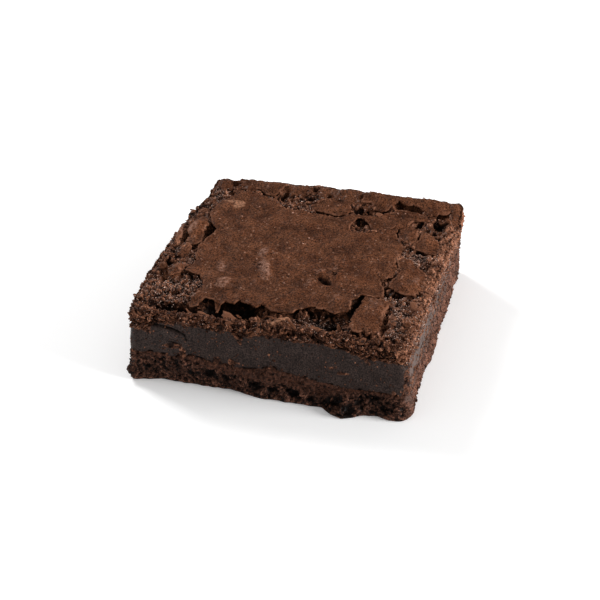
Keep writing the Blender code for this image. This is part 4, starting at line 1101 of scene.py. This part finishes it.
def make_plate(name, loops, material, seed):
    """A thin plate of crust: its fine upper face, a rough broken edge and a plain underside."""
    fine = scattered(loops[0], CRUST_STEP, seed)
    for hole in loops[1:]:
        fine = fine[~inside(fine, hole) & (edge_distance(fine, hole) > CRUST_STEP * 0.5)]
    plan, triangles, orders = triangulated(loops, fine)
    x, y = plan.T
    here = flat(x, y)
    distance = np.min([edge_distance(plan, loop[::2]) for loop in loops], axis=0)
    lip = 0.12 * (1 - smooth(0.3, 1, distance)) - 0.18 * (1 - smooth(0, 0.25, distance))
    upper = plate_top(x, y, distance) + lip
    thickness = CRUST_THICKNESS * (1 + 0.4 * rough(here, 2, seed + 7))
    lower = upper - thickness * (0.55 + 0.45 * smooth(0, 1.2, distance))
    pale = smooth(0.45, 0.6, relief(x, y, PALE_PATCHES) + 0.25 * rough(here, 1.2, 70))
    upper = upper + pale * (0.12 + 0.25 * rough(here, 0.9, 72))
    # Lighter on the swells and darker in the hollows, partly drier crust and partly painted light and shade;
    # painted light towards the right side; darker towards the front and the back.
    lightness = np.clip(1.1 * crust_swell(x, y), -0.28, 0.28) + 0.18 * smooth(21, 31, x)
    lightness -= 0.1 * smooth(-10, -22, y) + 0.07 * smooth(16, 28, y)
    # The upper face's marks: painted sheen highlights and painted shade in the pits; the pale patches are the
    # crust's own colour.
    on_top = {
        "pale": pale,
        "sheen": np.clip(1.3 * relief(x, y, SHEENS) + 0.55 * rough(here, 1.3, 73) - 0.12, 0, 1),
        "pit_shade": smooth(0.25, 0.5, -crust_pits(x, y)),
        "lightness": lightness,
    }
    points = [np.column_stack([plan, upper]), np.column_stack([plan, lower])]
    count = len(plan)
    faces = [tuple(face) for face in triangles] + [tuple(face[::-1] + count) for face in triangles]
    # Painted highlight along the plate's broken rim, and on its broken side.
    rim = (1 - smooth(0.15, 0.6, distance)) * (0.55 + 0.9 * rough(here, 1.4, 71) + 0.9 * rough(here, 5, 74))
    edge = [rim, np.zeros(count)]
    first = 2 * count
    for loop, order, side in zip(loops, orders, (1, -1)):
        ring = plan[order]
        middle = upper[order] * 0.45 + lower[order] * 0.55
        bulge = 0.03 + 0.12 * rough(np.column_stack([ring, middle]), 0.6, seed + 9)
        points.append(np.column_stack([ring + side * outward_normals(ring) * bulge[:, None], middle]))
        edge.append(np.full(len(ring), 0.3))
        middle_ring = first + np.arange(len(ring))
        first += len(ring)
        turn = int(side * turning(ring))
        faces += [tuple(quad[::turn]) for quad in bands([order + count, middle_ring, order])]
    values = {key: np.append(value, np.zeros(first - count)) for key, value in on_top.items()}
    values["edge"] = np.concatenate(edge)
    piece(name, np.concatenate(points), faces, material, values)


def make_crust(material):
    plates = {"main": (MAIN_PLATE, MAIN_PLATE_HOLE)}
    plates.update({name: (outline,) for name, outline in SMALL_PLATES.items()})
    for index, (name, outlines) in enumerate(plates.items()):
        loops = [ragged(outline, 11 + index + 20 * place) for place, outline in enumerate(outlines)]
        make_plate("crust_" + name, loops, material, 101 + index)


# Loose crumbs and flakes

def ball(subdivisions):
    """The points and faces of a round ball of radius 1."""
    mesh = bmesh.new()
    bmesh.ops.create_icosphere(mesh, subdivisions=subdivisions, radius=1)
    points = np.array([tuple(vertex.co) for vertex in mesh.verts])
    faces = np.array([[vertex.index for vertex in face.verts] for face in mesh.faces])
    mesh.free()
    return points, faces


def copied(faces, copies, size):
    """The faces of many copies of a shape that has the given number of points."""
    return (faces[None] + (np.arange(copies) * size)[:, None, None]).reshape(-1, 3)


def spins(count, draw):
    """Random rotation matrices."""
    first = draw.normal(size=(count, 3))
    first /= np.linalg.norm(first, axis=1)[:, None]
    second = np.cross(first, draw.normal(size=(count, 3)))
    second /= np.linalg.norm(second, axis=1)[:, None]
    return np.stack([first, second, np.cross(first, second)], axis=1)


def make_crumbs(name, places, sizes, material, seed):
    """One mesh of many crumbs, each with its own shape, turn, size and shade."""
    draw = np.random.default_rng(seed)
    round_points, faces = ball(CRUMB_FINENESS)
    stretch = np.random.default_rng(seed)
    shapes = []
    for kind in range(seed, seed + CRUMB_KINDS):
        push = 1 + 0.6 * rough(round_points, 0.9, kind) + 0.3 * rough(round_points, 0.45, kind + 20)
        shapes.append(round_points * push[:, None] * stretch.uniform(0.5, 1.1, 3))
    kinds = draw.integers(0, CRUMB_KINDS, len(places))
    local = np.einsum("nij,nvj->nvi", spins(len(places), draw), np.array(shapes)[kinds])
    points = (local * sizes[:, None, None] + places[:, None, :]).reshape(-1, 3)
    shade = np.repeat(draw.uniform(-0.4, 0.5, len(places)), len(round_points))
    # Painted light: crumbs lighter towards the right side; darker towards the front edge.
    shade += 0.3 * smooth(33.5, 36, points[:, 0]) - 0.12 * smooth(-34, -37, points[:, 1])
    values = {"crown": shade + 0.15 * rough(points, 0.35, seed + 3)}
    numbers = copied(faces, len(places), len(round_points))
    piece(name, points, numbers, material, values, rounded=False)


def drawn(points, normals, weights, count, seed):
    """A weighted draw of surface places and their normals."""
    draw = np.random.default_rng(seed)
    chosen = draw.choice(len(points), count, replace=False, p=weights / weights.sum())
    return points[chosen], normals[chosen]


def strewn(surface, weights, recipe):
    """Random crumbs by (count, typical size, largest size, seed): places, directions, sizes, next seed."""
    count, typical, largest, seed = recipe
    sizes = np.random.default_rng(seed + 1).gamma(2.5, typical / 2.5, count) + 0.1
    return *drawn(*surface, weights, count, seed), np.minimum(sizes, largest), seed + 2


def height_at(points, x, y):
    """The crumb's height near each plan place, below its highest grains."""
    heights = []
    for place_x, place_y in zip(x, y):
        near = (np.abs(points[:, 0] - place_x) < 0.6) & (np.abs(points[:, 1] - place_y) < 0.6)
        heights.append(np.percentile(points[near, 2], 80))
    return np.array(heights)


def make_pebbles(name, crumb_points, material):
    """One mesh of the larger lumps, each an uneven dome sunk into the crumb."""
    round_points, faces = ball(PEBBLE_FINENESS)
    lumps = []
    for x, y, length, width, height, turn, sink in PEBBLES:
        lean = np.array(Matrix.Rotation(np.radians(turn), 3, "Z"))
        top = height_at(crumb_points, [x], [y])[0]
        dome = round_points * np.array([length, width, height]) / 2 @ lean.T
        lumps.append(dome + np.array([x, y, top - sink]))
    points = np.concatenate(lumps)
    normals = np.tile(round_points, (len(PEBBLES), 1))
    detail = crumb_detail(points, 170)
    out = 0.5 * fractal(points, 2.2, 2, 171) + 0.35 * detail
    skin = 0.7 * smooth(0.35, 0.6, 0.6 + 0.6 * rough(points, 1.3, 172))
    numbers = copied(faces, len(PEBBLES), len(round_points))
    piece(name, points + normals * out[:, None], numbers, material,
          {"crown": detail + 0.35, "skin": skin})


def make_flakes(name, places, sizes, turns, tilts, material, seed):
    """One mesh of thin curved flakes of crust, each with its own ragged outline."""
    draw = np.random.default_rng(seed)
    angles = np.arange(FLAKE_SIDES) * 2 * np.pi / FLAKE_SIDES
    circle = np.column_stack([np.cos(angles), np.sin(angles), 0 * angles])
    inner = np.arange(1, FLAKE_SIDES + 1)
    outer = inner + FLAKE_SIDES
    count = 2 * FLAKE_SIDES + 1
    on_edge = np.arange(count) > FLAKE_SIDES
    fan = np.column_stack([np.zeros(FLAKE_SIDES, int), inner, np.roll(inner, -1)])
    upper_faces = [tuple(face) for part in (fan, bands([outer, inner])) for face in part]
    rim_faces = [tuple(face) for face in bands([outer + count, outer])]
    points, faces, edges = [], [], []
    for index, (place, size, turn, tilt) in enumerate(zip(places, sizes, turns, tilts)):
        outline = 1 + 0.35 * rough(circle, 0.7, seed + index) + 0.4 * rough(circle, 0.3, seed + index)
        rings = [circle[:, :2] * (outline * share)[:, None] for share in (0.55, 1)]
        plan = np.concatenate([np.zeros((1, 2)), *rings]) * size / 2
        bend, twist = draw.uniform(-0.12, 0.16), draw.uniform(-0.1, 0.1)
        height = bend * plan[:, 0] ** 2 + twist * plan[:, 0] * plan[:, 1]
        height += 0.12 * rough(flat(*plan.T) + index * 3.1, 0.8, seed)
        thin = np.where(on_edge, 0.1, 0.26)
        local = np.concatenate([np.column_stack([plan, height]), np.column_stack([plan, height - thin])])
        lean = Matrix.Rotation(np.radians(turn), 3, "Z") @ Matrix.Rotation(np.radians(tilt), 3, "Y")
        lean = lean @ Matrix.Rotation(np.radians(draw.uniform(-25, 25)), 3, "X")
        points.append(local @ np.array(lean).T + place)
        first = index * 2 * count
        faces += [tuple(np.add(face, first)) for face in upper_faces + rim_faces]
        faces += [tuple(np.add(face[::-1], first + count)) for face in upper_faces]
        # Each flake is a random shade lighter, with a painted highlight on its rim.
        shade = draw.uniform(0, 0.7)
        edges.append(np.tile(np.where(on_edge, 0.5 + shade / 2, shade), 2))
    piece(name, np.concatenate(points), faces, material, {"edge": np.concatenate(edges)})


def scatter_on_top(points, normals, loose, lumps, glint):
    """Crumbs, lumps and glints on the cake top. Returns how likely a flake is at each of its points."""
    x, y, z = points.T
    in_open = (normals[:, 2] > 0.1) & (depth_under_crust(points[:, :2]) < -0.3)
    ridge = np.exp(-((y + 38) / 2.2) ** 2) + 0.35 * np.exp(-((x - 36.4) / 1.6) ** 2)
    ridge += 0.15 * np.exp(-((x + 37) / 2) ** 2)
    bare = 1.02 - skin_on(x, y, normals[:, 2], points)
    bare *= 1 - 0.9 * np.clip(-relief(x, y, CAVITIES), 0, 1)
    under_flakes = [(*middle, length / 2 + 0.3, width / 2 + 0.3, turn, 1)
                    for *middle, length, width, turn, _ in PLACED_FLAKES]
    bare *= 1 - 0.85 * np.clip(relief(x, y, under_flakes), 0, 1)
    grainy = np.clip(relief(x, y, GRAINY_PATCHES), 0, 1)

    weights = (0.15 + 1.8 * ridge) * in_open * bare * (1 - 0.85 * grainy)
    spots, directions, sizes, seed = strewn((points, normals), weights, TOP_CRUMBS)
    make_crumbs("crumbs_top", spots + directions * sizes[:, None] * 0.25, sizes, loose, seed)
    make_pebbles("crust_lumps", points, lumps)
    # Glints: pale crumbs that are painted glints, most in the grainy patches.
    spots, directions, sizes, seed = strewn((points, normals), (grainy + 0.12) * in_open * bare, GLINTS)
    make_crumbs("crumb_glints", spots + directions * 0.05, sizes, glint, seed)
    return (0.06 + 1.8 * ridge) * in_open * bare


def scatter_on_base(points, normals, material):
    on_wall = ((normals[:, 2] < 0.6) & (points[:, 2] > 0.9)).astype(float)
    spots, directions, sizes, seed = strewn((points, normals), on_wall, BASE_CRUMBS)
    make_crumbs("crumbs_base", spots - directions * sizes[:, None] * 0.1, sizes, material, seed)


def scatter_on_fudge(points, normals, material):
    """The placed specks of the front face, and random crumbs that keep near the fudge's two boundaries."""
    placed = np.array([(x, FRONT - 0.05, z) for x, z, _ in FUDGE_SPECKS])
    placed_sizes = np.array([0.55 * size for *_, size in FUDGE_SPECKS])
    x, y, z = points.T
    near_edge = np.minimum(fudge_top(x, y) - z, z - base_top(x, y))
    weights = (np.exp(-np.maximum(near_edge, 0) / 0.7) + 0.1) * (near_edge > 0.1)
    spots, _, sizes, seed = strewn((points, normals), weights, FUDGE_CRUMBS)
    make_crumbs("crumbs_fudge", np.concatenate([placed, spots]), np.concatenate([placed_sizes, sizes]),
                material, seed)


def scatter_on_crust(material):
    """The placed specks baked onto the plates, and random finer ones."""
    x, y, size = np.array(CRUST_SPECKS).T
    draw = np.random.default_rng(151)
    more = draw.uniform((-30, -28, 0), (34, 38, 1), (RANDOM_SPECKS, 3))
    more = more[depth_under_crust(more[:, :2]) > 1]
    x, y = np.append(x, more[:, 0]), np.append(y, more[:, 1])
    sizes = np.append(0.8 * size, 0.08 + 0.16 * more[:, 2] ** 3)
    heights = plate_top(x, y, depth_under_crust(np.column_stack([x, y]))) + 0.1 * sizes
    make_crumbs("crumbs_crust", np.column_stack([x, y, heights]), sizes, material, 153)


def scatter_flakes(points, normals, weights, material):
    """The placed flakes, on the crumb or the crust, and random ones on the crumb."""
    x, y, length, width, turns, tilts = np.array(PLACED_FLAKES).T
    heights = height_at(points, x, y) + 0.75
    on_crust = depth_under_crust(np.column_stack([x, y])) > 0.3
    heights[on_crust] = plate_top(x, y, np.full(len(x), 3))[on_crust] + 0.12
    spots, directions = drawn(points, normals, weights, RANDOM_FLAKES, 161)
    draw = np.random.default_rng(162)
    long = draw.uniform(0.7, 2.6, RANDOM_FLAKES)
    wide = long * draw.uniform(0.25, 0.8, RANDOM_FLAKES)
    places = np.concatenate([np.column_stack([x, y, heights]), spots + directions * 0.05])
    sizes = np.concatenate([np.column_stack([length, width]), np.column_stack([long, wide])])
    turns = np.append(turns, draw.uniform(0, 360, RANDOM_FLAKES))
    tilts = np.append(tilts, draw.uniform(-24, 24, RANDOM_FLAKES))
    make_flakes("crust_flakes", places, sizes, turns, tilts, material, 163)


# The studio

def make_camera():
    turn, lift = np.radians(CAMERA_TURN), np.radians(CAMERA_LIFT)
    back = np.array([np.sin(turn) * np.cos(lift), -np.cos(turn) * np.cos(lift), np.sin(lift)])
    right = np.array([np.cos(turn), np.sin(turn), 0])
    up = np.cross(back, right)
    eye = back * CAMERA_DISTANCE + right * CAMERA_ASIDE + up * CAMERA_RAISED - np.array([*PLAN_MIDDLE, 0])
    data = bpy.data.cameras.new("camera")
    data.lens = CAMERA_LENS
    data.sensor_width = SENSOR_WIDTH
    camera = in_scene("camera", data)
    camera.matrix_world = Matrix.Translation(eye * MM) @ Matrix(np.column_stack([right, up, back])).to_4x4()
    bpy.context.scene.camera = camera


def make_light(name, place, size, power):
    """A square soft light at a place in metres, aimed at the brownie."""
    data = bpy.data.lights.new(name, "AREA")
    data.shape = "SQUARE"
    data.size = size
    data.energy = power
    light = in_scene(name, data)
    light.location = place
    light.rotation_euler = Vector(place).to_track_quat("Z", "Y").to_euler()


def make_studio():
    bpy.context.scene.view_settings.view_transform = "Standard"
    world = bpy.data.worlds.new("studio")
    world.use_nodes = True
    bpy.context.scene.world = world
    white = bpy.data.materials.new("floor_white")
    white.use_nodes = True
    settings = ((world.node_tree, "Background", WORLD), (white.node_tree, "Principled BSDF", FLOOR))
    for tree, node, values in settings:
        for key, value in values.items():
            feed(tree, tree.nodes[node].inputs[key], value)
    for light in LIGHTS:
        make_light(*light)
    mesh = bpy.data.meshes.new("floor")
    corners = ((-1, -1), (1, -1), (1, 1), (-1, 1))
    mesh.from_pydata([(FLOOR_HALF * x, FLOOR_HALF * y, -FLOOR_DROP) for x, y in corners], [], [(0, 1, 2, 3)])
    mesh.materials.append(white)
    floor = in_scene("floor", mesh)


def main():
    top_crumb = crumb_material("top_crumb", specular=0.05, skinned=True, smear_and_side_light=FUDGE_RIGHT_FACE_LIGHT)
    base_crumb = crumb_material("base_crumb", smear_and_side_light=BASE_SMEAR, right_face_light=FUDGE_RIGHT_FACE_LIGHT)
    base_grain = crumb_material("base_grain")
    loose_crumb = crumb_material("loose_crumb")
    speck = crumb_material("baked_speck")
    glint = crumb_material("crumb_glint", specular=0.15)
    crust = crust_material()

    ring = block_ring(RING_STEP)
    top = make_top_cake(*ring, top_crumb)
    base = make_base(*ring, base_crumb)
    fudge = make_fudge(*ring, fudge_material())
    make_crust(crust)
    flake_weights = scatter_on_top(*top, loose_crumb, top_crumb, glint)
    scatter_on_base(*base, base_grain)
    scatter_on_fudge(*fudge, loose_crumb)
    scatter_on_crust(speck)
    scatter_flakes(*top, flake_weights, crust)
    make_camera()
    make_studio()


main()
